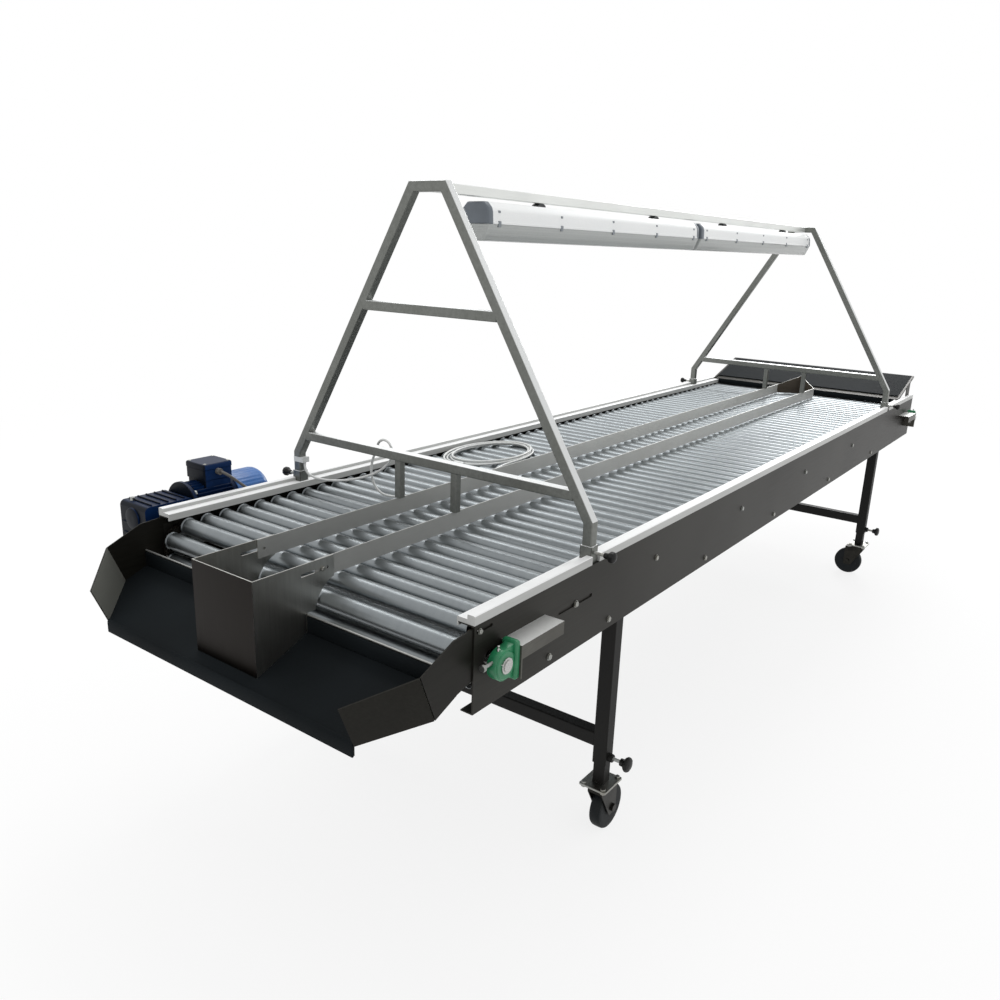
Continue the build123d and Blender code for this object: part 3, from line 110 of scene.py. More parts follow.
FINISHES = {
    # Cold-rolled stainless sheet, brushed along the bed: dull, its base darkened as painted shade, with soft brown
    # haze
    "stainless_sheet_brushed": dict(
        base="panel", fleck="#3a3935", metallic=0.55, rough=(0.38, 0.5), grain=5, along=(30, 1, 1), bump=0.02,
        cloud=("#201e1b", 420, 0.6), specular=0.12),
    # The chute's sheet, its base darkened as painted shade, with little mirror left; faces that look towards the rear
    # pale as painted light
    "stainless_sheet_painted_shade": dict(
        base="#1c1b17", fleck="#252420", metallic=0.45, rough=(0.36, 0.48), grain=5, along=(20, 1, 1),
        bump=0.02, cloud=("#1b1a17", 140, 0.6), painted_light_by_face=[("X", 1, "#7f807a")], specular=0.15),
    # The same sheet in small pieces, brushed upright: pale sides, and a front darkened to a warm brown as painted
    # shade
    "stainless_sheet_upright": dict(
        base="#a5a5a1", fleck="#b3b3af", metallic=1, rough=(0.3, 0.42), grain=5, along=(1, 1, 20), bump=0.02,
        cloud=("#7d7a73", 160, 0.6), painted_light_by_face=[("X", -1, "#16110d")]),
    # Glass-blasted stainless strip with a dry film of dust: an even pale grey without a mirror image, darkened
    # towards the discharge end as painted shade
    "stainless_strip_matte": dict(
        base="#dcddda", fleck="#e4e5e2", metallic=0.5, rough=(0.42, 0.52), grain=3, along=(12, 1, 1),
        bump=0.015, cloud=("#c9c8c3", 260, 0.4), painted_shade_to_discharge=(0.65, "#5d5e5c")),
    # The same strip on the flow splitter: pale outside, the inner faces that look to the front browned as painted
    # shade
    "stainless_strip_plough": dict(
        base="#dcddda", fleck="#e4e5e2", metallic=0.5, rough=(0.42, 0.52), grain=3, along=(12, 1, 1),
        bump=0.015, cloud=("#c9c8c3", 260, 0.4), painted_light_by_face=[("X", -1, "#4f483f")]),
    # Folded stainless plate: dark sides, and a bright top that is painted light
    "stainless_plate_folded": dict(
        base="#4f4e49", fleck="#5d5c56", metallic=0.6, rough=(0.34, 0.44), grain=4, along=(8, 1, 1),
        bump=0.015, cloud=("#423f3a", 90, 0.5), painted_light_by_face=[("Z", 1, "#e2e3e1")], specular=0.3),
    # Stainless square tube, belt-ground: dull flanks with soft streaks, upper faces brightened as painted light
    "stainless_tube_ground": dict(
        base="tube", fleck="#80827e", metallic=0.75, rough=(0.36, 0.46), grain=9,
        cloud=("#666863", 180, 0.6), painted_light_by_face=[("Z", 1, "#e9ebeb")]),
    # The same tube for the beam that carries the lamps, made paler all round as painted light
    "stainless_tube_painted_light": dict(
        base="#e6e8e5", fleck="#eef0ed", metallic=0.7, rough=(0.3, 0.4), grain=9, along=(20, 1, 1),
        cloud=("#dadcd9", 220, 0.5), painted_light_by_face=[("Z", 1, "#e9ebeb")]),
    # Drawn and polished steel tube: a soft clear sheen, with faint wear bands round it where the load lies
    "steel_tube_polished": dict(
        base="roller", fleck="#8b9092", metallic=1, rough=(0.34, 0.40), grain=20, along=(6, 1, 6),
        cloud=("#797e80", 160, 0.3)),
    # Oiled chain steel: dark, with a wet sheen and dust in the oil
    "chain_steel_oiled": dict(
        base="#54514c", fleck="#2e2b28", metallic=1, rough=(0.3, 0.5), grain=3, cloud=("#3a3127", 40, 0.5)),
    # Bright zinc plate: cool, slightly mottled and half gloss
    "steel_zinc_plated": dict(
        base="#a9aba8", fleck="#8a8d8c", metallic=1, rough=(0.25, 0.4), grain=6, cloud=("#857e70", 45, 0.5)),
    # Pressed castor steel with black-passivated zinc: near black, with a dull metal sheen worn in places
    "steel_zinc_black": dict(
        base="#2a2926", fleck="#34332f", metallic=0.8, rough=(0.35, 0.5), grain=5, cloud=("#181715", 40, 0.7),
        specular=0.25),
    # Turned shaft steel: round tool marks and a clean gloss
    "steel_turned": dict(
        base="#a6a6a4", fleck="#c6c6c4", metallic=1, rough=(0.2, 0.32), grain=1.5, along=(1, 8, 1)),
    # Extruded polyethylene: off-white and waxy, its top brightened as painted light, its sides grey as painted shade
    "polyethylene_white": dict(
        base="rail", fleck="#b4b5b3", rough=(0.38, 0.5), grain=5, along=(40, 1, 1), bump=0.02,
        cloud=("#a9aaa8", 350, 0.4), painted_light_by_face=[("Z", 1, "#eceded")], ior=1.5),
    # Black powder coat: fine orange peel and a satin gloss
    "powder_coat_black": dict(
        base="legs", fleck="#161615", rough=(0.45, 0.55), grain=1.6, bump=0.05, cloud=("#1a1816", 120, 0.5),
        ior=1.5, specular=0.18),
    # Calendered sheet rubber: blue-black, dull, with a fine grain and pale dust
    "rubber_sheet_black": dict(
        base="lining", fleck="#161a1c", rough=(0.65, 0.8), grain=2.5, bump=0.06, cloud=("#1b2023", 240, 0.6),
        ior=1.52, specular=0.06),
    # Green machine enamel on cast iron: the cast skin shows as a shallow bump under the gloss
    "enamel_green_on_casting": dict(
        base="bearing", fleck="#2f8a5c", rough=(0.28, 0.4), grain=3, bump=0.12, cloud=("#14573a", 50, 0.5),
        ior=1.5),
    # Blue enamel on cast aluminium: half gloss over a slight casting grain; upper faces and front faces darkened as
    # painted shade
    "enamel_blue_on_casting": dict(
        base="motor", fleck="#0f2f5e", rough=(0.3, 0.44), grain=2.5, bump=0.1, cloud=("#081a35", 70, 0.5),
        painted_light_by_face=[("Z", 1, "#061a38"), ("X", -1, "#050c17")], ior=1.5, specular=0.1),
    # Blue enamel on pressed sheet: smoother and a little lighter than on the castings
    "enamel_blue_on_sheet": dict(
        base="#2f62a4", fleck="#3f74b4", rough=(0.25, 0.34), grain=4, cloud=("#22508c", 90, 0.5), ior=1.5),
    # Glass-filled polyester moulding: white, a little yellowed, satin
    "polyester_moulding_white": dict(
        base="#f4f5f4", fleck="#eceeee", rough=(0.32, 0.42), grain=3, bump=0.03, cloud=("#e6e9ea", 300, 0.5),
        ior=1.5),
    # Slate grey ABS end moulding: a fine spark-eroded grain
    "abs_slate_grey": dict(
        base="#666d75", fleck="#737a82", rough=(0.4, 0.5), grain=1.5, bump=0.05, cloud=("#585f66", 60, 0.5),
        ior=1.53),
    # Pale grey acetal latch: smooth, with mould flow marks
    "acetal_pale_grey": dict(
        base="#8d9398", fleck="#7d8388", rough=(0.35, 0.45), grain=4, cloud=("#70767b", 30, 0.5), ior=1.48),
    # Black polyamide hanger: a fine moulded grain
    "polyamide_black": dict(
        base="#1d1f21", fleck="#2b2d2f", rough=(0.4, 0.5), grain=2, bump=0.04, ior=1.53),
    # Black phenolic knob: moulded gloss with dull handling marks
    "phenolic_black": dict(
        base="#0d0d0d", fleck="#151515", rough=(0.35, 0.5), grain=8, ior=1.6, specular=0.2),
    # Dark elastic tread: dull, with floor dust in its grain
    "rubber_tread_dark": dict(
        base="#111417", fleck="#191d20", rough=(0.5, 0.65), grain=2.5, bump=0.08, cloud=("#1f2120", 40, 0.5),
        ior=1.52, specular=0.15),
    # Grey polyamide wheel centre: a fine moulded grain
    "polyamide_grey": dict(
        base="#3c424a", fleck="#4a5058", rough=(0.4, 0.5), grain=2, bump=0.05, cloud=("#2f343a", 40, 0.5),
        ior=1.53),
    # White plastic lead sheath: smooth, slightly grey from handling
    "pvc_sheath_white": dict(
        base="#dfe1e0", fleck="#cfd1d0", rough=(0.35, 0.45), grain=6, cloud=("#c2c3c0", 120, 0.5), ior=1.53),
    # Dark rubber lead sheath: half matt, with handling marks
    "rubber_sheath_dark": dict(
        base="#4a4744", fleck="#5c5955", rough=(0.4, 0.5), grain=4, cloud=("#3a3734", 30, 0.5), ior=1.52),
    # Grey polyamide gland: plain moulded satin
    "polyamide_gland": dict(
        base="#5d5a56", fleck="#6d6a66", rough=(0.35, 0.45), grain=3, ior=1.53),
    # Fluorescent tube: phosphor-white glass, clear and glossy outside
    "glass_phosphor_white": dict(
        base="#f0f1ee", fleck="#e6e8e4", rough=(0.08, 0.14), grain=20, ior=1.5),
}
PRISMATIC = "acrylic_prismatic"
PRISM_MM = 6.0
# Reach of the painted shade that darkens the strips towards the discharge end
PAINTED_SHADE_REACH = 1.6  # metres behind the discharge end


def looks():
    """Return the colours that a user can change."""
    return bpy.context.scene.conveyor_colours


def sizes():
    """Return the sizes that a user can change."""
    return bpy.context.scene.conveyor_sizes


def linear(code):
    """Turn an sRGB hex colour into linear red, green and blue."""
    parts = [int(code[i:i + 2], 16) / 255 for i in (1, 3, 5)]
    return tuple(c / 12.92 if c <= 0.04045 else ((c + 0.055) / 1.055) ** 2.4 for c in parts)


def shade(code):
    """Return a linear colour with alpha, from sRGB hex or from the name of a colour that a user can change."""
    return (*(linear(code) if code[0] == "#" else getattr(looks(), code)), 1)


def add(tree, kind, values=None, links=None):
    """Add one node: values set its properties or sockets, links join its sockets to outputs."""
    node = tree.nodes.new(kind)
    for key, value in (values or {}).items():
        if isinstance(key, int) or key in node.inputs:
            node.inputs[key].default_value = value
        else:
            setattr(node, key, value)
    for key, source in (links or {}).items():
        tree.links.new(source, node.inputs[key])
    return node


def fresh_tree(block):
    """Turn on the nodes of a material or world and return them emptied."""
    block.use_nodes = True
    block.node_tree.nodes.clear()
    return block.node_tree


def grained(tree, base, fleck, metallic=0.0, rough=(0.4, 0.5), grain=2.0, along=(1, 1, 1), bump=0.0, cloud=None,
            painted_shade_to_discharge=None, painted_light_by_face=(), ior=None, specular=None):
    """Shader of a row in FINISHES: fine grain from base to fleck, with further colours laid over it.

    along stretches the grain on each axis. The clouds are stains or haze. The darkening along the bed is
    (share, colour): painted shade that thickens to that share at the discharge end. Each (axis, sign, colour)
    of the face list gives the faces that look that way a colour of their own: painted light, such as bright
    tops, and painted shade.
    """
    place = add(tree, "ShaderNodeTexCoord").outputs
    fine = add(tree, "ShaderNodeMapping", {"Scale": [1000 / grain / a for a in along]}, {"Vector": place["Object"]})
    noise = add(tree, "ShaderNodeTexNoise", {"Scale": 1.0, "Detail": 4.0, "Roughness": 0.6},
                {"Vector": fine.outputs[0]}).outputs["Fac"]
    mask = add(tree, "ShaderNodeMapRange", {"From Min": 0.3, "From Max": 0.7}, {"Value": noise})
    layers = []
    if cloud:
        code, width, most = cloud
        broad = add(tree, "ShaderNodeTexNoise", {"Scale": 1000 / width, "Detail": 2.0}, {"Vector": place["Object"]})
        share = add(tree, "ShaderNodeMapRange", {"From Min": 0.35, "From Max": 0.7, "To Max": most},
                    {"Value": broad.outputs["Fac"]})
        layers.append((code, share))
    # Painted shade: darker towards the discharge end
    if painted_shade_to_discharge:
        most, code = painted_shade_to_discharge
        along_bed = add(tree, "ShaderNodeSeparateXYZ", None, {0: place["Object"]}).outputs["X"]
        share = add(tree, "ShaderNodeMapRange",
                    {"From Min": FRONT + PAINTED_SHADE_REACH, "From Max": FRONT, "To Max": most}, {"Value": along_bed})
        layers.append((code, share))
    # Painted light and painted shade: each face gets the colour given for the way it looks
    for axis, sign, code in painted_light_by_face:
        way = add(tree, "ShaderNodeSeparateXYZ", None, {0: place["Normal"]}).outputs[axis]
        share = add(tree, "ShaderNodeMapRange", {"From Min": 0.3 * sign, "From Max": 0.6 * sign}, {"Value": way})
        layers.append((code, share))
    colour = add(tree, "ShaderNodeMix", {"data_type": "RGBA", 6: shade(base), 7: shade(fleck)},
                 {0: mask.outputs[0]}).outputs[2]
    for code, share in layers:
        colour = add(tree, "ShaderNodeMix", {"data_type": "RGBA", 7: shade(code)},
                     {0: share.outputs[0], 6: colour}).outputs[2]
    gloss = add(tree, "ShaderNodeMapRange", {"To Min": rough[0], "To Max": rough[1]}, {"Value": noise})
    links = {"Base Color": colour, "Roughness": gloss.outputs[0]}
    if bump:
        links["Normal"] = add(tree, "ShaderNodeBump", {"Strength": 0.6, "Distance": bump / 1000},
                              {"Height": noise}).outputs[0]
    values = {"Metallic": metallic, "IOR": ior, "Specular IOR Level": specular}
    values = {key: value for key, value in values.items() if value is not None}
    return add(tree, "ShaderNodeBsdfPrincipled", values, links)


def prismatic(tree):
    """Shader of the clear prismatic covers, whose pressed pyramids break up the light; coarse, so that they show."""
    place = add(tree, "ShaderNodeTexCoord").outputs["Object"]
    scaled = add(tree, "ShaderNodeMapping", {"Scale": (1000 / PRISM_MM,) * 3}, {"Vector": place})
    cells = add(tree, "ShaderNodeTexVoronoi", {"distance": "CHEBYCHEV", "Scale": 1.0, "Randomness": 0.15},
                {"Vector": scaled.outputs[0]}).outputs["Distance"]
    lift = add(tree, "ShaderNodeBump", {"Strength": 0.5, "Distance": 0.001}, {"Height": cells})
    tint = add(tree, "ShaderNodeMix", {"data_type": "RGBA", 6: shade("#cfd2d0"), 7: shade("#adb1b0")}, {0: cells})
    return add(tree, "ShaderNodeBsdfPrincipled", {"Roughness": 0.18, "IOR": 1.49, "Transmission Weight": 0.25},
               {"Base Color": tint.outputs[2], "Normal": lift.outputs[0]})


def finish(name):
    """Return the material of that name, made when it is first asked for."""
    made = bpy.data.materials.get(name)
    if not made:
        made = bpy.data.materials.new(name)
        tree = fresh_tree(made)
        surface = prismatic(tree) if name == PRISMATIC else grained(tree, **FINISHES[name])
        add(tree, "ShaderNodeOutputMaterial", None, {"Surface": surface.outputs[0]})
    return made


# Surfaces: local shapes and cross sections in millimetres, places and paths in metres

def mirrored(half):
    """Carry a profile on past its last pair with the same pairs in turn, their heights negated."""
    return half + [(r, -w) for r, w in reversed(half)]


def turned(profile, count):
    """Surface of revolution: point(i, a) = (r_i cos a, r_i sin a, w_i) for profile pairs (r, w)."""
    r, w = np.array(profile, float).T
    a = np.linspace(0, tau, count, endpoint=False)
    return np.stack([r[:, None] * np.cos(a), r[:, None] * np.sin(a), np.repeat(w[:, None], count, 1)], -1)


def rounded(half_u, half_v, corner, count=5):
    """Outline of a rounded rectangle: quarter circles of the corner radius about its four corner centres."""
    corner = max(min(corner, half_u, half_v), 0.01)
    a = np.linspace(0, pi / 2, count)
    turns = (a[None] + np.arange(4)[:, None] * pi / 2).ravel()
    signs = np.repeat(np.array([(1, 1), (-1, 1), (-1, -1), (1, -1)]), count, 0)
    return signs * (half_u - corner, half_v - corner) + corner * np.stack([np.cos(turns), np.sin(turns)], -1)


def blocky(half_u, half_v, corner, profile, count=5):
    """Rounded block: one rounded rectangle per profile pair (inset, w), drawn in by the inset at height w."""
    rows = []
    for inset, w in profile:
        ring = rounded(half_u - inset, half_v - inset, max(corner - inset, 0.01), count)
        rows.append(np.column_stack([ring, np.full(len(ring), w)]))
    return np.array(rows)


def drawn(outline, profile):
    """Solid from a flat outline (n, 2): the outline scaled towards its middle by each pair (scale, w)."""
    outline = np.array(outline, float)
    centre = outline.mean(0)
    return np.array([np.column_stack([centre + (outline - centre) * s, np.full(len(outline), w)])
                     for s, w in profile])


def swept(outline, path, side):
    """Profile carried along a bent path in one plane, mitred: point = p + a side + b (side x n) / cos(half bend)."""
    path = np.array(path, float)
    side = np.array(side, float)
    legs = np.diff(path, axis=0)
    legs /= np.linalg.norm(legs, axis=1)[:, None]
    before = np.vstack([legs[:1], legs])
    after = np.vstack([legs, legs[-1:]])
    mean = before + after
    mean /= np.linalg.norm(mean, axis=1)[:, None]
    stretch = 1 / np.sum(mean * after, 1)
    across = np.cross(side, mean) * stretch[:, None]
    outline = np.array(outline, float)
    return path[:, None] + outline[None, :, :1] * side + outline[None, :, 1:] * across[:, None]


def tube(path, half, corner, side=(1, 0, 0)):
    """Square tube with rounded corners along a bent path in metres."""
    return swept(rounded(half, half, corner) / 1000, path, side)


def put(rows, place, axis="z", turn=0.0):
    """Turn a local surface about its w axis, lay w along a world axis and move it, in metres, to its place."""
    rows = np.asarray(rows, float)
    c, s = cos(turn), sin(turn)
    u, v, w = rows[..., 0] * c - rows[..., 1] * s, rows[..., 0] * s + rows[..., 1] * c, rows[..., 2]
    order = {"x": (w, u, v), "y": (u, w, v), "z": (u, v, w)}[axis]
    return np.stack(order, -1) / 1000 + np.array(place, float)


def lathe(profile, count, place, axis="z", turn=0.0, flip=1):
    """A turned surface put in its place, with its heights times flip."""
    return put(turned([(r, flip * w) for r, w in profile], count), place, axis, turn)


def slab(half_u, half_v, corner, profile, place, axis="z", turn=0.0, flip=1, count=5):
    """A rounded block put in its place, with its heights times flip."""
    return put(blocky(half_u, half_v, corner, [(i, flip * w) for i, w in profile], count), place, axis, turn)


def prism(outline, profile, place, axis="z"):
    """A solid from a flat outline put in its place."""
    return put(drawn(outline, profile), place, axis)


def copies(rows, places):
    """The same surface at many places, as one array."""
    return np.asarray(rows)[None] + np.array(places, float)[:, None, None]


def piece(name, shells, look, hides=(), sharp=32, body="frame"):
    """Make one mesh from grids of points that close round their columns and are capped at both ends.

    Quads join each row to the next: (i, j), (i, j+1), (i+1, j+1), (i+1, j), with j counted round the loop.
    Edges that bend by more than sharp degrees stay sharp.
    """
    points, loops, counts, start = [], [], [], 0
    for rows in shells:
        r, c = rows.shape[-3:-1]
        flat = rows.reshape(-1, r * c, 3)
        i, j = np.mgrid[0:r - 1, 0:c]
        k = (j + 1) % c
        quads = np.stack([i * c + j, i * c + k, (i + 1) * c + k, (i + 1) * c + j], -1).reshape(-1)
        ends = np.concatenate([np.arange(c)[::-1], (r - 1) * c + np.arange(c)])
        firsts = start + np.arange(len(flat)) * r * c
        loops.append((firsts[:, None] + np.concatenate([quads, ends])).ravel())
        counts.append(np.tile(np.concatenate([np.full((r - 1) * c, 4), [c, c]]), len(flat)))
        points.append(flat.reshape(-1, 3))
        start += len(flat) * r * c
    points, loops, counts = np.concatenate(points), np.concatenate(loops), np.concatenate(counts)
    mesh = bpy.data.meshes.new(name)
    mesh.vertices.add(len(points))
    mesh.vertices.foreach_set("co", points.astype(np.float32).ravel())
    mesh.loops.add(len(loops))
    mesh.loops.foreach_set("vertex_index", loops.astype(np.int32))
    mesh.polygons.add(len(counts))
    mesh.polygons.foreach_set("loop_start", (np.cumsum(counts) - counts).astype(np.int32))
    mesh.update(calc_edges=True)
    work = bmesh.new()
    work.from_mesh(mesh)
    bmesh.ops.recalc_face_normals(work, faces=work.faces)
    work.to_mesh(mesh)
    work.free()
    mesh.shade_smooth()
    mesh.set_sharp_from_angle(angle=radians(sharp))
    mesh.materials.append(finish(look))
    made = bpy.data.objects.new(name, mesh)
    bpy.context.scene.collection.objects.link(made)
    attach(made, body)
    if hides:
        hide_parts(*hides)


def dress(look, *nodes):
    """Give solids that keep their shape their finish."""
    for node in nodes:
        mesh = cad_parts[node].data
        mesh.materials.clear()
        mesh.materials.append(finish(look))


# Rollers and chains

def wrap(body, count, step):
    """Angles, and places on a shaft's pitch circle at those angles: (r cos a, 0, r sin a) about the shaft."""
    shaft, first = WRAPS[body]
    a = radians(first) + np.arange(count) * step
    return a, np.stack([shaft[0] + PITCH_RADIUS * np.cos(a), 0 * a, shaft[2] + PITCH_RADIUS * np.sin(a)], -1)


def axle_places():
    """Axle places of the four moving groups: two straight runs, and three axles round each shaft."""
    k, flat = np.arange(RUN), np.zeros(RUN)
    upper = np.stack([DRIVE[0] + PITCH * (k + 1), flat, flat + DRIVE[2] + PITCH_RADIUS], -1)
    lower = np.stack([DRIVE[0] + PITCH * k, flat, flat + DRIVE[2] - PITCH_RADIUS], -1)
    return {"upper_run": upper, "lower_run": lower, **{body: wrap(body, 3, pi / 3)[1] for body in WRAPS}}


class CONVEYOR_OT_rollers(bpy.types.Operator):
    """Rollers: drawn tube, a rim disc at each end and a dished seat round the axle"""
    bl_idname = "conveyor.rollers"
    bl_label = "Rollers"

    def execute(self, context):
        end = [(6.2, -470), (13, -470), (14, -472), (22.2, -472), (23, -471.2), (23, -468.8), (22.4, -468),
               (21.5, -468), (21, -467.4), (21, -450)]
        roller = lathe(mirrored(end), 32, ORIGIN, "y")
        for body, places in axle_places().items():
            node = body.replace("_run", "") + "_rollers"
            piece("rollers_" + body, [copies(roller, places)], "steel_tube_polished", (node,),
                  body=body)
        return {"FINISHED"}


def link_plate(thickness, end=8.4, waist=6.4):
    """Chain side plate: two round ends about the pins, drawn in to a waist between them."""
    a = np.linspace(-pi / 2, pi / 2, 6)
    right = np.stack([LINK * 500 + end * np.cos(a), end * np.sin(a)], -1)
    outline = np.concatenate([right, [(0, waist)], -right, [(0, -waist)]])
    return prism(outline, [(1, -thickness / 2), (1, thickness / 2)], ORIGIN, "y")


class CONVEYOR_OT_chains(bpy.types.Operator):
    """Roller chains: alternate inner and outer link plates, bushes, rivet heads and the roller axles"""
    bl_idname = "conveyor.chains"
    bl_label = "Chains"

    def execute(self, context):
        x, y, z = np.moveaxis(link_plate(2.2), -1, 0)
        inner, outer = 0.0078, 0.0100
        bush = lathe(mirrored([(3.6, -7.8), (4.3, -7.8)]), 14, ORIGIN, "y")
        rivet = lathe(mirrored([(2.6, -10.8), (3.4, -10.2)]), 10, ORIGIN, "y")
        axle = lathe(mirrored([(5.2, -475.8), (6, -474.5)]), 16, ORIGIN, "y")
        for body, places in axle_places().items():
            if body in WRAPS:
                hides = ()
                a, pins = wrap(body, 7, tau / TEETH)
                turns = (a[:-1] + a[1:]) / 2 + pi / 2
            else:
                hides = (body.replace("_run", "_chains"),)
                pins = places[0] + np.outer(np.arange((RUN - 1) * 3 + 1) * LINK, (1, 0, 0))
                turns = np.zeros(len(pins) - 1)
            links = (pins[:-1] + pins[1:]) / 2
            c, s = np.cos(turns)[:, None, None], np.sin(turns)[:, None, None]
            bent = np.stack([x * c - z * s, y + 0 * c, x * s + z * c], -1)
            step = np.where(np.arange(len(links)) % 2 == 0, inner, outer)
            shells = [copies(axle, places)]
            for side in SIDES:
                for way in SIDES:
                    offset = np.stack([0 * step, side * CHAIN_Y + way * step, 0 * step], -1)
                    shells.append(bent + (links + offset)[:, None, None])
                shells += [copies(part, pins + (0, side * CHAIN_Y, 0)) for part in (bush, rivet)]
            piece("chains_" + body, shells, "chain_steel_oiled", hides, body=body)
        dress("steel_turned", "drive_shaft", "tail_shaft")
        return {"FINISHED"}


# Frames and legs

class CONVEYOR_OT_lamp_frames(bpy.types.Operator):
    """Lamp frames: bent and welded square tube in upright sockets, with a beam between their tops"""
    bl_idname = "conveyor.lamp_frames"
    bl_label = "Lamp frames"

    def execute(self, context):
        corner = sizes().tube_corner * 1000
        half, bar_half, post_half = 12.5, 12.4, 10  # the bars a little thinner, so that no faces coincide
        foot_z, post_y, post_low, post_high = 0.8165, 0.096, 0.8511, 0.958
        bar_gap, beam_lap = 0.010, 0.004
        lean = (FOOT_Y - TOP_Y) / (BEAM_Z - BEND_Z)
        sleeve = [(0, 815.8), (0, 855.6), (0.8, 856.3)]
        for name, bars in (("front_lamp_frame", (UPPER_BAR_Z, BAR_Z)), ("rear_lamp_frame", (BAR_Z,))):
            x = middle(name)[0]
            bend = [(x, FOOT_Y, foot_z), (x, FOOT_Y, BEND_Z), (x, TOP_Y, BEAM_Z)]
            shells = [tube(bend + [(x, -y, z) for x, y, z in reversed(bend)], half, corner)]
            for z in bars:
                reach = FOOT_Y - (z - BEND_Z) * lean - bar_gap
                shells.append(tube([(x, -reach, z), (x, reach, z)], bar_half, corner))
            for y in (-post_y, post_y):
                shells.append(tube([(x, y, post_low), (x, y, post_high)], post_half, corner))
            shells += [slab(15.2, 15.2, 2, sleeve, (x, side * FOOT_Y, 0)) for side in SIDES]
            piece(name + "_tubes", shells, "stainless_tube_ground", (name,), 10)
        low, high = box("lamp_beam")
        ends = [(low[0] - beam_lap, 0, BEAM_Z), (high[0] + beam_lap, 0, BEAM_Z)]
        beam = tube(ends, bar_half, corner, (0, 1, 0))
        piece("lamp_beam_tube", [beam], "stainless_tube_painted_light", ("lamp_beam",), 10)
        return {"FINISHED"}


class CONVEYOR_OT_legs(bpy.types.Operator):
    """Leg tubes with cross bars and clamp bosses, and the sliding inner legs with their bolted plates"""
    bl_idname = "conveyor.legs"
    bl_label = "Legs"

    def execute(self, context):
        half, bar_half, radius = 20, 19.9, 4
        low_z, high_z, bar_y, bar_z = 0.2162, 0.627, 0.477, 0.282
        boss_y, boss_z, bolt_x, bolt_y = 0.515, 0.235, 0.038, 0.029
        boss = [(5.2, 0), (11.2, 0), (11, 10), (9.8, 12), (5.2, 12)]
        shells = []
        for corner in ("front_near", "rear_near"):
            x = middle(corner + "_inner_leg")[0]
            for side in SIDES:
                shells.append(tube([(x, side * LEG_Y, low_z), (x, side * LEG_Y, high_z)], half, radius))
                shells.append(lathe(boss, 24, (x, side * boss_y, boss_z), "y", flip=side))
            shells.append(tube([(x, -bar_y, bar_z), (x, bar_y, bar_z)], bar_half, radius))
        piece("leg_tubes", shells, "powder_coat_black", ("leg_frames",), 10)
        plate_top = 158
        plate = [(0.6, 152), (0, 152.6), (0, 157.4), (0.6, plate_top)]
        nut = [(1, plate_top), (7.2, plate_top), (7.4, 161.5), (6.2, 163), (1, 163)]
        head = [(1, 147), (6.4, 147.2), (7.4, 148.5), (7.4, 152), (1, 152)]
        for corner in CORNERS:
            low, high = box(corner + "_inner_leg")
            x, y = (low[:2] + high[:2]) / 2
            inner = tube([(x, y, plate_top / 1000), (x, y, high[2])], sizes().inner_leg * 500, 3.5)
            piece(corner + "_inner_tube", [inner], "powder_coat_black", (corner + "_inner_leg",), 10,
                  corner + "_leg")
            shells = [slab(46, 40, 4, plate, (x, y, 0))]
            for u, v in product((-bolt_x, bolt_x), (-bolt_y, bolt_y)):
                shells += [lathe(rows, 6, (x + u, y + v, 0), "z", 0.4) for rows in (nut, head)]
            piece(corner + "_plate", shells, "steel_zinc_plated", (), 25, corner + "_leg")
        return {"FINISHED"}


# Castors and knobs

class CONVEYOR_OT_castors(bpy.types.Operator):
    """Castor wheels with a rounded tread and a ribbed centre, and the forks' ball races"""
    bl_idname = "conveyor.castors"
    bl_label = "Castors"

    def execute(self, context):
        tread = mirrored([(44, -16), (56, -16.5), (60, -15), (62, -11.5), (62.5, -5)])
        centre = mirrored([(6.1, -17), (13, -17), (15, -15), (16, -8), (38, -8), (40, -14), (44.1, -14.5)])
        race = [(19, 140), (30, 140.2), (32.5, 143), (32.5, 149), (31, 151.5), (19, 151.5)]
        rib = blocky(12, 1.6, 1, mirrored([(0.6, -13.5), (0, -12.5)]), 3) + (27, 0, 0)
        rib_count = 8
        for corner in CORNERS:
            low, high = box(corner + "_castor_wheel")
            hub = (low + high) / 2
            axis = "y" if high[1] - low[1] < high[0] - low[0] else "x"
            wheel = corner + "_wheel"
            piece(corner + "_tread", [lathe(tread, 64, hub, axis)], "rubber_tread_dark",
                  (corner + "_castor_wheel",), body=wheel)
            ribs = [put(rib, hub, axis, k * tau / rib_count) for k in range(rib_count)]
            piece(corner + "_centre", [lathe(centre, 48, hub, axis)] + ribs, "polyamide_grey",
                  body=wheel)
            x, y, _ = middle(corner + "_inner_leg")
            piece(corner + "_race", [lathe(race, 40, (x, y, 0))], "steel_zinc_black", body=corner + "_fork")
            dress("steel_zinc_black", corner + "_castor_fork")
        return {"FINISHED"}


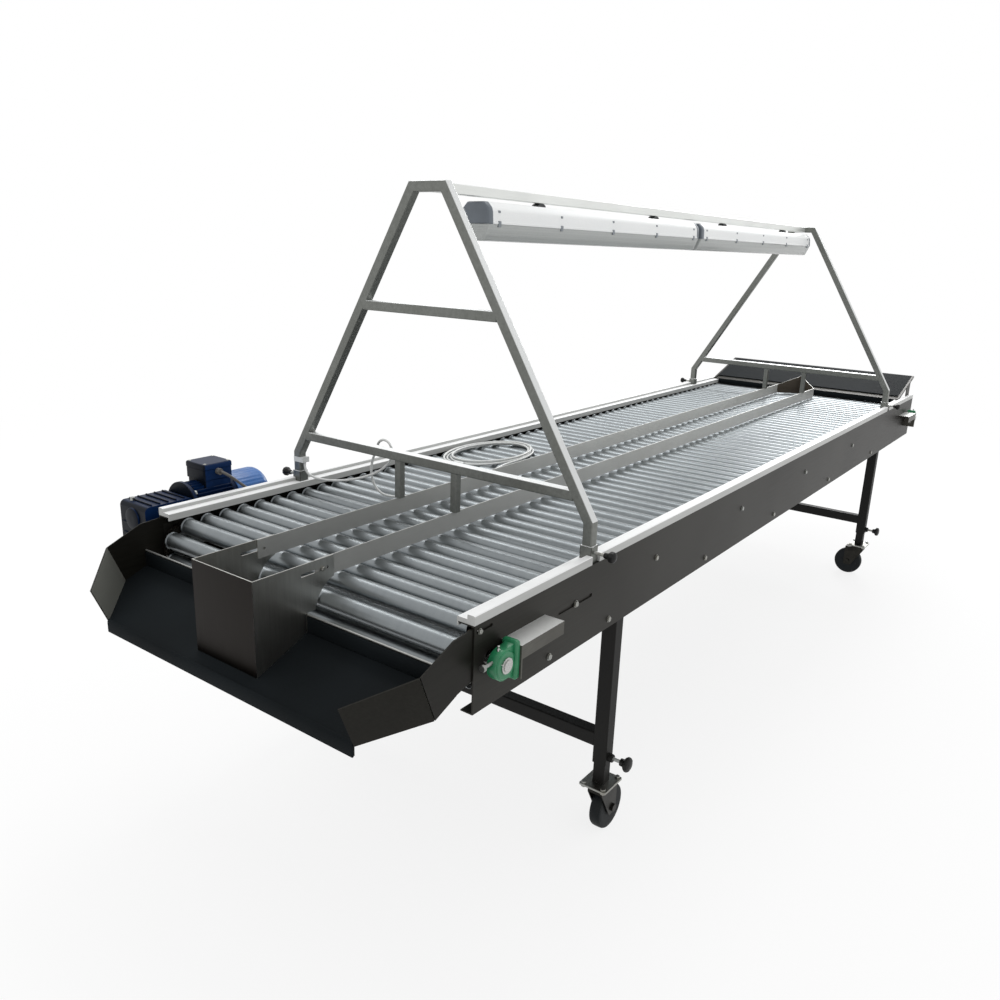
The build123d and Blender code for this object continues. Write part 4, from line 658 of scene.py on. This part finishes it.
class CONVEYOR_OT_knobs(bpy.types.Operator):
    """Clamp knobs: a threaded stud and a mushroom head with a ridged rim"""
    bl_idname = "conveyor.knobs"
    bl_label = "Knobs"

    def execute(self, context):
        cap = [(0.40, -30), (0.50, -29), (0.52, -21.5), (0.64, -18), (0.90, -15), (1, -12), (1, -7.5), (0.93, -4),
               (0.62, -1.2), (0.20, -0.2), (0.05, 0)]
        head_length, ridges, ridge_depth = 30, 10, 0.045
        lead, thread_depth = 1.5, 0.5
        a = np.linspace(0, tau, 60, endpoint=False)
        rim = np.array([r > 0.85 for r, w in cap], float)[:, None]
        ridged = 1 - ridge_depth * rim * (0.5 + 0.5 * np.cos(ridges * a)[None])
        kinds = (("leg_knob", "leg_clamp", 20, 5), ("frame_knob", "frame_clamp", 13.5, 4))
        for corner, (kind, clamp, head, stud) in product(CORNERS, kinds):
            node, body = f"{corner}_{kind}", f"{corner}_{clamp}"
            low, high = box(node)
            side = 1 if low[1] > 0 else -1
            tip, end = (low[1], high[1])[::side]
            x, _, z = (low + high) / 2
            rows = turned([(head * r, side * w) for r, w in cap], len(a))
            rows[..., :2] *= ridged[..., None]
            piece(node + "_head", [put(rows, (x, end, z), "y")], "phenolic_black", (node,), body=body)
            length = abs(end - tip) * 1000 - head_length
            w = np.linspace(0, length, int(length / 0.5))
            r = stud - thread_depth * (0.5 + 0.5 * np.cos(w / lead * tau))
            thread = lathe(np.column_stack([r, w]), 16, (x, tip, z), "y", flip=side)
            piece(node + "_stud", [thread], "steel_zinc_plated", (), 60, body)
        return {"FINISHED"}


# Lamps

class CONVEYOR_OT_lamps(bpy.types.Operator):
    """Two weatherproof lamps: moulded trays, prismatic covers, end mouldings, latches and hangers"""
    bl_idname = "conveyor.lamps"
    bl_label = "Lamps"

    def execute(self, context):
        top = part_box("lamp_trays")[1][2]
        upper = [(23.5, 0), (27.5, -1), (40, -15), (43.2, -24), (44.6, -48), (46, -49), (46, -53.5), (43, -54)]
        lower = [(43, -53), (44.6, -54.5), (43, -59), (29, -91.5), (25.5, -94.5), (20, -96)]
        hood = [(24, 0), (28.5, -1), (41.2, -14), (44.5, -24), (46, -48), (46.2, -50), (46.2, -54), (44, -54.5)]
        upper, lower, hood = (half + [(-u, v) for u, v in reversed(half)] for half in (upper, lower, hood))
        latch = [(0.8, -4), (0, -3), (0, 1.2), (1, 2)]
        grip = [(0.4, -4), (0, -3), (0, 1.2), (0.6, 1.8)]
        latch_step, latch_y, latch_drop, grip_y, grip_drop = 0.295, 0.0452, 0.0535, 0.0430, 0.0235
        hanger_reach, end_length = 0.35, 13
        a = np.linspace(0, pi, 15)
        dome = np.stack([20 * np.cos(a), 10.2 * np.sin(a)], -1)
        trays, covers, caps, latches, hangers = [], [], [], [], []
        for start in LAMPS:
            place = (start, 0, top)
            for ring, keep in ((upper, trays), (lower, covers)):
                keep.append(prism(ring, [(1, end_length), (1, LAMP_LENGTH - end_length)], place, "x"))
            for ring, keep, reach in ((hood, caps, 16.5), (lower, covers, 13.1)):
                steps = [(0.90, 0), (0.97, 2), (1, 6), (1, reach)]
                keep.append(prism(ring, steps, place, "x"))
                keep.append(prism(ring, [(s, LAMP_LENGTH - w) for s, w in reversed(steps)], place, "x"))
            mid = start + LAMP_LENGTH / 2000
            for side, k in product(SIDES, range(-2, 3)):
                x = mid + k * latch_step
                latches.append(slab(6, 7.5, 2, latch, (x, side * latch_y, top - latch_drop), "y", flip=side))
                latches.append(slab(4.5, 3, 1, grip, (x, side * grip_y, top - grip_drop), "y", flip=side))
            for x in (mid - hanger_reach, mid + hanger_reach):
                hangers.append(prism(dome, mirrored([(0.95, -11), (1, -10)]), (x, 0, top), "y"))
        piece("lamp_tray_mouldings", trays, "polyester_moulding_white", ("lamp_trays",))
        piece("lamp_covers", covers, PRISMATIC, ("lamp_diffusers",))
        piece("lamp_end_mouldings", caps, "abs_slate_grey", ("lamp_end_caps",))
        piece("lamp_latches", latches, "acetal_pale_grey", ("lamp_clips",))
        piece("lamp_hangers", hangers, "polyamide_black")
        dress("glass_phosphor_white", "lamp_tubes")
        return {"FINISHED"}


# Gearmotor

class CONVEYOR_OT_gearmotor(bpy.types.Operator):
    """Worm gearmotor: ribbed gearbox, finned motor, fan cover with a ring grille and a terminal box with its lid"""
    bl_idname = "conveyor.gearmotor"
    bl_label = "Gearmotor"

    def execute(self, context):
        low, high = box("gearbox_housing")
        y, z = MOTOR_Y, DRIVE[2] + WORM_RISE
        start = (high[0], y, z)
        screws = self.motor(start)
        hood_gap = 0.003
        neck = 0.033  # of the housing, from the panel to its body
        self.fan_hood((high[0] + hood_gap, y, z))

        cap = [(6, -5), (25, -5.5), (29, -4), (30, -1.5), (30, 0), (6, 0)]
        ring = [(30, 0), (52, 0), (52, 3), (50.5, 4.2), (40, 4.2), (38, 2), (30, 2)]
        head = [(0.5, 8), (4, 8), (4.8, 7.2), (4.8, 3), (0.5, 3)]
        head_circle = 0.0455
        gear = [lathe(cap, 40, (low[0], y, z), "x")]
        for side, face in ((1, high[1]), (-1, low[1] + neck)):
            gear.append(lathe(ring, 48, (DRIVE[0], face, DRIVE[2]), "y", flip=side))
            for b in np.arange(6) * pi / 3:
                place = (DRIVE[0] + head_circle * cos(b), face, DRIVE[2] + head_circle * sin(b))
                screws.append(lathe(head, 12, place, "y", flip=side))
        rib = [(0, -4), (0, 3), (1.2, 4.2)]
        top_step, end_step = 0.024, 0.030
        gear += [slab(2.2, 52, 2, rib, (low[0] + k * top_step, y, high[2])) for k in range(1, 6)]
        gear += [slab(50, 2.2, 2, rib, (low[0], y, low[2] + k * end_step), "x", flip=-1) for k in range(1, 5)]
        piece("gearbox_ribs", gear, "enamel_blue_on_casting")
        plug = [(0.5, 9), (6, 9), (7, 8), (7, 0), (0.5, 0)]
        plug_x, plug_y = 0.020, 0.030
        screws.append(lathe(plug, 6, (low[0] + plug_x, y + plug_y, high[2])))
        piece("gearmotor_screws", screws, "steel_zinc_plated")
        dress("enamel_blue_on_casting", "gearbox_housing")
        dress("steel_turned", "motor_rotor")
        return {"FINISHED"}

    def motor(self, start):
        """Finned barrel, flange, end shield and terminal box; r(a) = core + depth wave(a) round the barrel."""
        fins = sizes().motor_fins
        core, depth = 56.5, 9.3
        a = np.linspace(0, tau, fins * 8, endpoint=False)
        wave = np.clip(np.cos(fins * a) * 2.2 + 0.3, -1, 1) * 0.5 + 0.5
        steps = np.array([(12, 0), (16, 0), (18, 1), (139, 1), (141, 0), (145, 0)])
        w, share = steps.T[..., None]
        r = core + depth * wave * share
        barrel = np.stack([r * np.cos(a), r * np.sin(a), w + 0 * a], -1)
        flange = [(50, 0), (68.5, 0), (70, 1.5), (70, 10.5), (68.5, 12), (58, 15), (50, 15)]
        shield = [(50, 130), (64, 130), (66, 133), (66, 145), (50, 145)]
        x, y, z = start
        box_x = at(218.5)
        pedestal = [(0, 30), (0, 69), (2, 70.5)]
        case = [(1.5, 70.2), (0, 71.5), (0, 99), (0.8, 100)]
        lid = [(0.8, 100.4), (0, 101.2), (0, 111), (1.2, 114), (4, 115.8)]
        shells = [put(barrel, start, "x"), lathe(flange, 56, start, "x"), lathe(shield, 56, start, "x"),
                  slab(42.5, 40, 6, pedestal, (box_x, y, z)),
                  slab(45.5, 43, 7, case, (box_x, y, z)),
                  slab(46.5, 44, 7, lid, (box_x, y, z))]
        piece("motor_castings", shells, "enamel_blue_on_casting", ("motor_housing",))
        lid_screw = [(1, 115), (4.4, 115), (4.4, 116.5), (3, 117.2), (0.5, 117.2)]
        nut = [(1, 12), (0, 12.8), (0, 17.2), (1.5, 18.5)]
        nut_circle, screw_x, screw_y = 0.0625, 0.037, 0.0345
        screws = [lathe(lid_screw, 16, (box_x + u, y + v, z))
                  for u, v in product((-screw_x, screw_x), (-screw_y, screw_y))]
        for b in pi / 4 + np.arange(4) * pi / 2:
            place = (x, y + nut_circle * cos(b), z + nut_circle * sin(b))
            screws.append(slab(6.8, 6.8, 3, nut, place, "x", b, count=3))
        return screws

    def fan_hood(self, start):
        """Fan cover: a turned shell with rings pressed in its end, its barrel drawn in by fine grooves."""
        hood = [(65.5, 142), (69, 142), (70, 145), (70, 231), (68.5, 239), (64, 246), (60, 248), (57.5, 246.8),
                (54, 246.8), (52, 248.5), (49, 248.5), (47, 247), (43.5, 247), (41.5, 248.8), (38.5, 248.8),
                (36.5, 247.2), (33, 247.2), (31, 249), (28, 249), (26, 247.4), (22.5, 247.4), (20.5, 249.2),
                (1, 249.5)]
        grooves, groove_depth = 36, 0.022
        shell = turned(hood, grooves * 4)
        b = np.linspace(0, tau, grooves * 4, endpoint=False)
        barrel = np.array([r > 69.5 for r, w in hood], float)[:, None]
        shell[..., :2] *= (1 - groove_depth * barrel * np.clip(np.cos(grooves * b), 0, 1))[..., None]
        piece("fan_hood", [put(shell, start, "x")], "enamel_blue_on_sheet", ("fan_cover",))


# Bearings

class CONVEYOR_OT_bearings(bpy.types.Operator):
    """Bearing blocks: cast housings on a foot, with inserts, grease nipples and set screws"""
    bl_idname = "conveyor.bearings"
    bl_label = "Bearings"

    def execute(self, context):
        a = np.linspace(-pi / 2, pi / 2, 25)
        dome = 33 * np.stack([np.cos(a), np.sin(a)], -1)
        back = [(-15, 33), (-27, 37), (-27, -37), (-15, -33)]
        outline = np.concatenate([dome, back])
        block = mirrored([(0.96, -11), (1, -9.5)])
        boss = mirrored([(23, -13.5), (27.5, -13.5), (29.2, -12), (30, -9)])
        foot = [(0.8, 0), (0, 0.8), (0, 8.5), (1.5, 10), (5, 11.5)]
        shield = mirrored([(14, -12), (25.5, -12.2)])
        ring = mirrored([(12.7, -17), (16.2, -17), (17, -16.2)])
        nipple = [(1, 0), (3.8, 0), (3.8, 4), (2.4, 5), (2.4, 8), (3, 9), (3, 10.5), (1.5, 12), (0.5, 12)]
        screw = [(0.5, 0), (2.6, 0), (2.6, 1.4), (0.5, 1.4)]
        screw_circle, screw_y, screw_angles = 0.0165, 0.0135, (0.6, 2.7)
        foot_x, nipple_x, nipple_z = 0.0365, 0.010, 0.0305
        castings, inserts = [], []
        for side, (x, _, z), way in BEARINGS:
            y = side * BEARING_Y
            centre = (x, y, z)
            castings += [prism(outline * (way, 1), block, centre, "y"), lathe(boss, 48, centre, "y"),
                         slab(18.8, 41.8, 6, foot, (x - way * foot_x, y, z), "x", flip=way)]
            inserts += [lathe(shield, 40, centre, "y"), lathe(ring, 40, centre, "y"),
                        lathe(nipple, 12, (x + way * nipple_x, y, z + nipple_z))]
            for b in screw_angles:
                place = (x + screw_circle * cos(b), y + side * screw_y, z + screw_circle * sin(b))
                inserts.append(lathe(screw, 10, place))
        piece("bearing_castings", castings, "enamel_green_on_casting", ("bearing_blocks",), 38)
        piece("bearing_inserts", inserts, "steel_turned")
        dress("stainless_plate_folded", "bearing_brackets")
        return {"FINISHED"}


# Fasteners

class CONVEYOR_OT_fasteners(bpy.types.Operator):
    """Panel and divider bolts: hexagon heads with a chamfer on flat washers, and the bearings' bolts"""
    bl_idname = "conveyor.fasteners"
    bl_label = "Fasteners"

    def execute(self, context):
        large, small = 8, 6  # thread diameters
        upper_z, lower_z, wing_z, box_y, box_z = 0.742, 0.650, 0.801, 0.100, 0.827
        bolts = [(d, upper_z, large) for d in (767, 1361, 1988, 2619, 369)]
        bolts += [(d, lower_z, large) for d in (268, 529, 1099, 1678, 2314, 2975)]
        bolts.append((16, wing_z, small))
        places = [(at(d), side * HALF_WIDTH, z, size, side) for d, z, size in bolts for side in SIDES]
        places += [(at(-2), side * box_y, box_z, small, side) for side in SIDES]
        shells = []
        for x, y, z, size, side in places:
            washer = [(size * 0.5, 0.1), (size * 1.05, 0.1), (size * 1.05, 1.2), (size * 0.5, 1.2)]
            head = [(size * 0.9, 1.2), (size * 0.92, 4), (size * 0.8, 5), (size * 0.1, 5)]
            shells += [lathe(washer, 20, (x, y, z), "y", flip=side), lathe(head, 6, (x, y, z), "y", 0.3, side)]
        head = [(3.6, 0), (7.2, 0), (7.2, 4), (6.4, 5), (1, 5)]
        stem = [(4, 0), (4, 26), (7.5, 26.2), (7.5, 31), (6.6, 32), (1, 32)]
        foot_x, foot_z, stem_x, stem_z = 0.0405, 0.019, 0.029, 0.012
        for side, (x, _, z), way in BEARINGS:
            y = side * BEARING_Y
            shells += [lathe(head, 6, (x - way * foot_x, y, z + dz), "x", flip=-way) for dz in (-foot_z, foot_z)]
            shells.append(lathe(stem, 12, (x + way * stem_x, y, z + stem_z), "x", flip=way))
        piece("bolt_heads", shells, "steel_zinc_plated", ("fasteners",), 20)
        return {"FINISHED"}


# Sheet metal, rails and linings

class CONVEYOR_OT_sheet_metal(bpy.types.Operator):
    """Panels, dividers, chute, infeed board, rails and linings, with the rolled rubber edge of the chute"""
    bl_idname = "conveyor.sheet_metal"
    bl_label = "Sheet metal"

    def execute(self, context):
        dress("stainless_sheet_brushed", "near_side_panel", "far_side_panel", "chute_floor", "infeed_board")
        dress("stainless_sheet_painted_shade", "chute_wings")
        dress("stainless_sheet_upright", "discharge_box")
        dress("stainless_strip_matte", "lane_dividers")
        dress("stainless_strip_plough", "flow_splitter")
        dress("stainless_tube_ground", "cross_ties")
        dress("rubber_sheet_black", "rubber_linings")
        lap = [(0, 792.5), (6, 792.5), (6, 702), (-45.5, 689.5)]
        laps = [prism(lap, [(1, side * 509.3), (1, side * 511.7)], (FRONT, 0, 0), "y") for side in SIDES]
        piece("wing_laps", laps, "stainless_sheet_painted_shade", sharp=30)

        block = [(497, 816), (497, 834.5), (498.5, 836), (513.5, 836), (515, 834.5), (515, 816)]
        hook = [(476, 815.8), (476, 807.5), (472, 807.5), (472, 824.5), (473.5, 826)]
        strip = hook + [(477, 826), (477, 815.8)]
        whole = hook + [(497, 826)] + block[1:]
        notch, end_block = 0.0165, 0.085
        front, rear = (middle(name)[0] for name in ("front_lamp_frame", "rear_lamp_frame"))
        stops = [FRONT, front - notch, front + notch, rear - notch, rear + notch, PANEL_HIGH[0] - end_block,
                 PANEL_HIGH[0]]
        rails = []
        for start, end, shape in zip(stops, stops[1:], (whole, strip, whole, strip, whole, block)):
            reach = [(1, 0), (1, (end - start) * 1000)]
            rails += [prism(np.array(shape) * (side, 1), reach, (start, 0, 0), "x") for side in SIDES]
        piece("rail_profiles", rails, "polyethylene_white", ("guard_rails",), 25)

        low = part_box("chute_floor")[0]
        roll_rise, strip_z, flange_z = 0.0262, 0.7136, 0.7354
        edge = [(0, 6), (-3.5, 5), (-5.5, 1.5), (-6, -4), (-6, -25), (-4, -27.5), (-1, -27.5), (0, -26)]
        shells = [prism(edge, [(1, -408.5), (1, 408.5)], (low[0], 0, low[2] + roll_rise), "y")]
        strip = [(0, 0), (0, -2.2), (0.8, -3)]
        shells += [slab(203.8, 17.8, 2, strip, (CHUTE_X, side * LANE_Y, strip_z), "x") for side in SIDES]
        piece("chute_rubber_edge", shells, "rubber_sheet_black", sharp=60)
        hem, top = 0.8068, PANEL_LOW[2] + 0.2045
        hung = (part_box("infeed_board")[0][0] + 0.003, 0, (top + hem) / 2)
        flap = slab(470, (top - hem) * 500, 2, mirrored([(0.5, -2.2), (0, -1.6)]), hung, "x")
        piece("infeed_flap", [flap], "rubber_sheet_black", sharp=60)
        # The top edge of each chute flange, a real steel edge, as a thin pale strip: a painted highlight
        flange = [(0, 2.6), (0, -1), (0.3, -1.4)]
        highlight_strips = [slab(204, 1.2, 0.4, flange, (CHUTE_X, side * LANE_Y, flange_z), "x") for side in SIDES]
        piece("chute_flange_painted_highlight", highlight_strips, "stainless_strip_matte", sharp=60)
        return {"FINISHED"}


# Leads

def lead_points():
    """The lamp lead's route: from its clip, over a loop, down to the bed and along it to the coil."""
    clip, bed = (middle("front_lamp_frame")[0] - FRONT) * 1000, BED_Z * 1000
    route = np.array([
        (clip, 474.5, 883), (clip, 474.5, 857), (455, 449, 841), (461, 409, 838), (468, 350, 845), (474, 290, 860),
        (478, 236, 880), (480, 193, 903), (480, 163, 928), (481, 152, 955), (484, 162, 980), (487, 187, 990),
        (489, 212, 980), (491, 222, 955), (494, 241, 924), (498, 252, 889), (504, 251, 855), (512, 243, 831),
        (526, 229, 814), (550, 211, bed), (592, 186, bed), (652, 162, bed), (725, 146, bed), (805, 142, bed),
        (885, 153, bed), (962, 178, bed), (1032, 200, bed), (1096, 212, bed)])
    return route / 1000 + (FRONT, 0, 0)


def coil_points():
    """The coil's turns, sixteen points each: an ellipse that draws in for two turns, climbs and opens out again.

    x = cx + reach(t) cos(a), y = cy + width(t) sin(a), with the reach drawn in by 18 mm a turn on the left and
    9 mm on the right, and the width by 10 mm.
    """
    centre_x, centre_y, long, wide = at(1170), 0.338, 0.203, 0.126
    left, right, across, stub = 0.018, 0.009, 0.010, 0.007
    stops = np.arange(16.0)
    drawn_in = np.concatenate([np.arange(9) / 4, [2, 2], 2 - 2 * np.arange(1, 6) / 5])
    climb = np.concatenate([np.zeros(9), [0.0038], np.full(6, 0.0076)])
    extra = np.concatenate([np.zeros(11), np.full(4, 0.009), [-0.017]])
    t = np.arange(0, 15.01, 0.25)
    d, rise, e = (np.interp(t, stops, v) for v in (drawn_in, climb, extra))
    a = t * pi / 2 - pi / 2
    reach = np.where(np.cos(a) > 0, long - right * d, long - left * d - e)
    x = centre_x + reach * np.cos(a)
    y = centre_y + (wide - across * d) * np.sin(a)
    points = np.stack([x, y, BED_Z + rise], -1)
    return np.vstack([points[0] - (stub, 0, 0), points, points[-1] - (0, stub, 0)])


class CONVEYOR_OT_leads(bpy.types.Operator):
    """The white lamp lead with its hanging loop, loose coil, plug and tape, and the motor's lead and glands"""
    bl_idname = "conveyor.leads"
    bl_label = "Leads"

    def execute(self, context):
        diameter = round(sizes().lead_diameter, 6)
        route = np.vstack([lead_points(), coil_points()])
        curve = bpy.data.curves.new("lamp_lead_line", "CURVE")
        curve.dimensions = "3D"
        curve.bevel_depth = diameter / 2
        curve.bevel_resolution = 4
        curve.resolution_u = 8
        curve.use_fill_caps = True
        line = curve.splines.new("NURBS")
        line.points.add(len(route) - 1)
        line.points.foreach_set("co", np.column_stack([route, np.ones(len(route))]).ravel())
        line.order_u = 3
        line.use_endpoint_u = True
        curve.materials.append(finish("pvc_sheath_white"))
        lead = bpy.data.objects.new("lamp_lead_line", curve)
        context.scene.collection.objects.link(lead)
        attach(lead, "frame")
        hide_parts("lamp_lead", "lamp_lead_coil")
        dress("pvc_sheath_white", "lamp_plug")
        tape_y = 0.4871
        tape = slab(13.1, 19.7, 2, [(0, 882.5), (0, 897.5)], (middle("front_lamp_frame")[0], tape_y, 0))
        piece("lead_tape", [tape], "pvc_sheath_white", sharp=10)
        dress("rubber_sheath_dark", "motor_lead")
        dress("polyamide_gland", "cable_glands")
        return {"FINISHED"}


# Stage

def backdrop_rays(tree):
    """Return a mask of the rays that see the backdrop: straight, mirrored in metal or through clear plastic."""
    path = add(tree, "ShaderNodeLightPath").outputs
    mask = path["Is Camera Ray"]
    for kind in ("Is Glossy Ray", "Is Transmission Ray"):
        mask = add(tree, "ShaderNodeMath", {"operation": "MAXIMUM"}, {0: mask, 1: path[kind]}).outputs[0]
    return mask


class CONVEYOR_OT_stage(bpy.types.Operator):
    """Camera, pale floor, soft lamps and a white surround"""
    bl_idname = "conveyor.stage"
    bl_label = "Stage"

    def execute(self, context):
        scene = context.scene
        scene.view_settings.view_transform = "Standard"
        camera = bpy.data.cameras.new("view")
        camera.sensor_width = 36.0
        camera.lens = 30.73
        camera.clip_end = 100.0
        eye = bpy.data.objects.new("view", camera)
        right, down, ahead = (0.59595, -0.80231, 0.0337), (-0.20797, -0.19474, -0.95855), (0.77562, 0.56425, -0.28291)
        place = (-3.0339, -1.4139, 1.5010)
        rows = [[right[i], -down[i], -ahead[i], place[i]] for i in range(3)]
        eye.matrix_world = Matrix(rows + [[0, 0, 0, 1]])
        scene.collection.objects.link(eye)
        scene.camera = eye

        world = bpy.data.worlds.new("white_surround")
        scene.world = world
        tree = fresh_tree(world)
        level = add(tree, "ShaderNodeMapRange", {"To Min": 0.85, "To Max": 1.0}, {"Value": backdrop_rays(tree)})
        light = add(tree, "ShaderNodeBackground", {"Color": (1, 1, 1, 1)}, {"Strength": level.outputs[0]})
        add(tree, "ShaderNodeOutputWorld", None, {"Surface": light.outputs[0]})

        for name, where, aim, size in (("roof_light", (0.6, 2.8, 5.0), (0.6, 2.8, 0.0), (1.2, 6.0)),
                                       ("rear_light", (4.6, 0.6, 3.0), (0.9, 0.0, 0.8), (1.6, 2.6))):
            lamp = bpy.data.lights.new(name, "AREA")
            lamp.shape = "RECTANGLE"
            lamp.size, lamp.size_y = size
            lamp.energy = 110
            soft = bpy.data.objects.new(name, lamp)
            soft.location = where
            soft.rotation_euler = (Vector(aim) - Vector(where)).to_track_quat("-Z", "Y").to_euler()
            scene.collection.objects.link(soft)

        half, depth = 14, -0.0005
        floor = bpy.data.meshes.new("floor")
        floor.from_pydata([(u * half, v * half, depth) for u, v in ((-1, -1), (1, -1), (1, 1), (-1, 1))], [],
                          [(0, 1, 2, 3)])
        paint = bpy.data.materials.new("studio_floor_pale")
        tree = fresh_tree(paint)
        matt = add(tree, "ShaderNodeBsdfDiffuse", {"Color": (0.9, 0.9, 0.9, 1)})
        glow = add(tree, "ShaderNodeEmission", {"Color": (1, 1, 1, 1), "Strength": 1.0})
        spot = add(tree, "ShaderNodeTexCoord").outputs["Object"]
        away = add(tree, "ShaderNodeVectorMath", {"operation": "LENGTH"}, {0: spot}).outputs["Value"]
        fade = add(tree, "ShaderNodeMapRange", {"From Min": 2.0, "From Max": 6.0, "To Min": 0.82, "To Max": 1.0},
                   {"Value": away})
        share = add(tree, "ShaderNodeMath", {"operation": "MULTIPLY"}, {0: backdrop_rays(tree), 1: fade.outputs[0]})
        both = add(tree, "ShaderNodeMixShader", None, {0: share.outputs[0], 1: matt.outputs[0], 2: glow.outputs[0]})
        add(tree, "ShaderNodeOutputMaterial", None, {"Surface": both.outputs[0]})
        floor.materials.append(paint)
        ground = bpy.data.objects.new("floor", floor)
        scene.collection.objects.link(ground)
        return {"FINISHED"}


# Settings, panel and registration

def colour(label, words, code):
    """A colour that a user can change, given as sRGB hex."""
    return FloatVectorProperty(name=label, description=words, subtype="COLOR", size=3, min=0, max=1,
                               default=linear(code))


def length(label, words, default, least, most):
    """A length that a user can change, in metres."""
    return FloatProperty(name=label, description=words, subtype="DISTANCE", unit="LENGTH", precision=4,
                         default=default, min=least, max=most)


class ConveyorColours(bpy.types.PropertyGroup):
    """Finishes of the conveyor's main groups"""
    # The side panels' default colour is darkened as painted shade, and the guard rails' grey is painted shade on
    # their sides
    panel: colour("Side panels", "Brushed sheet of the panels and the chute floor", "#2f2e2b")
    tube: colour("Lamp frame", "Ground square tube of the lamp frames", "#6f716d")
    roller: colour("Rollers", "Polished steel tube of the rollers", "#83888b")
    rail: colour("Guard rails", "Plastic of the guard rails", "#bfc0be")
    legs: colour("Legs", "Powder coat of the legs", "#0e0e0d")
    lining: colour("Linings", "Sheet rubber of the chute and the infeed board", "#0f1214")
    bearing: colour("Bearings", "Enamel of the bearing blocks", "#1f7a4f")
    motor: colour("Gearmotor", "Enamel of the gearbox and the motor", "#0a254c")


class ConveyorSizes(bpy.types.PropertyGroup):
    """Sizes of the conveyor's details"""
    tube_corner: length("Tube corner", "Corner radius of the square tubes", 0.0025, 0.0002, 0.006)
    lead_diameter: length("Lead diameter", "Diameter of the lamp lead", 0.007, 0.003, 0.012)
    inner_leg: length("Inner leg", "Width of the sliding inner legs", 0.034, 0.020, 0.0344)
    motor_fins: IntProperty(name="Motor fins", description="Cooling fins round the motor", default=36, min=12, max=72)


PIECES = (CONVEYOR_OT_stage, CONVEYOR_OT_leads, CONVEYOR_OT_sheet_metal, CONVEYOR_OT_rollers, CONVEYOR_OT_chains,
          CONVEYOR_OT_lamp_frames, CONVEYOR_OT_lamps, CONVEYOR_OT_gearmotor, CONVEYOR_OT_bearings, CONVEYOR_OT_legs,
          CONVEYOR_OT_castors, CONVEYOR_OT_knobs, CONVEYOR_OT_fasteners)


class CONVEYOR_PT_panel(bpy.types.Panel):
    """Lists the conveyor's pieces, colours and sizes"""
    bl_idname = "CONVEYOR_PT_panel"
    bl_label = "Sorting conveyor"
    bl_space_type = "VIEW_3D"
    bl_region_type = "UI"
    bl_category = "Conveyor"

    def draw(self, context):
        for group in (looks(), sizes()):
            for key in type(group).__annotations__:
                self.layout.prop(group, key)
        for kind in PIECES:
            self.layout.operator(kind.bl_idname)


CLASSES = (ConveyorColours, ConveyorSizes, *PIECES, CONVEYOR_PT_panel)


def register():
    """Register the classes and hang the settings on the scene."""
    for kind in CLASSES:
        bpy.utils.register_class(kind)
    bpy.types.Scene.conveyor_colours = PointerProperty(type=ConveyorColours)
    bpy.types.Scene.conveyor_sizes = PointerProperty(type=ConveyorSizes)


def unregister():
    """Take the settings and the classes away again."""
    del bpy.types.Scene.conveyor_colours
    del bpy.types.Scene.conveyor_sizes
    for kind in reversed(CLASSES):
        bpy.utils.unregister_class(kind)


def main():
    """Make every piece in order."""
    register()
    for kind in PIECES:
        group, name = kind.bl_idname.split(".")
        getattr(getattr(bpy.ops, group), name)()


if __name__ == "__main__":
    main()
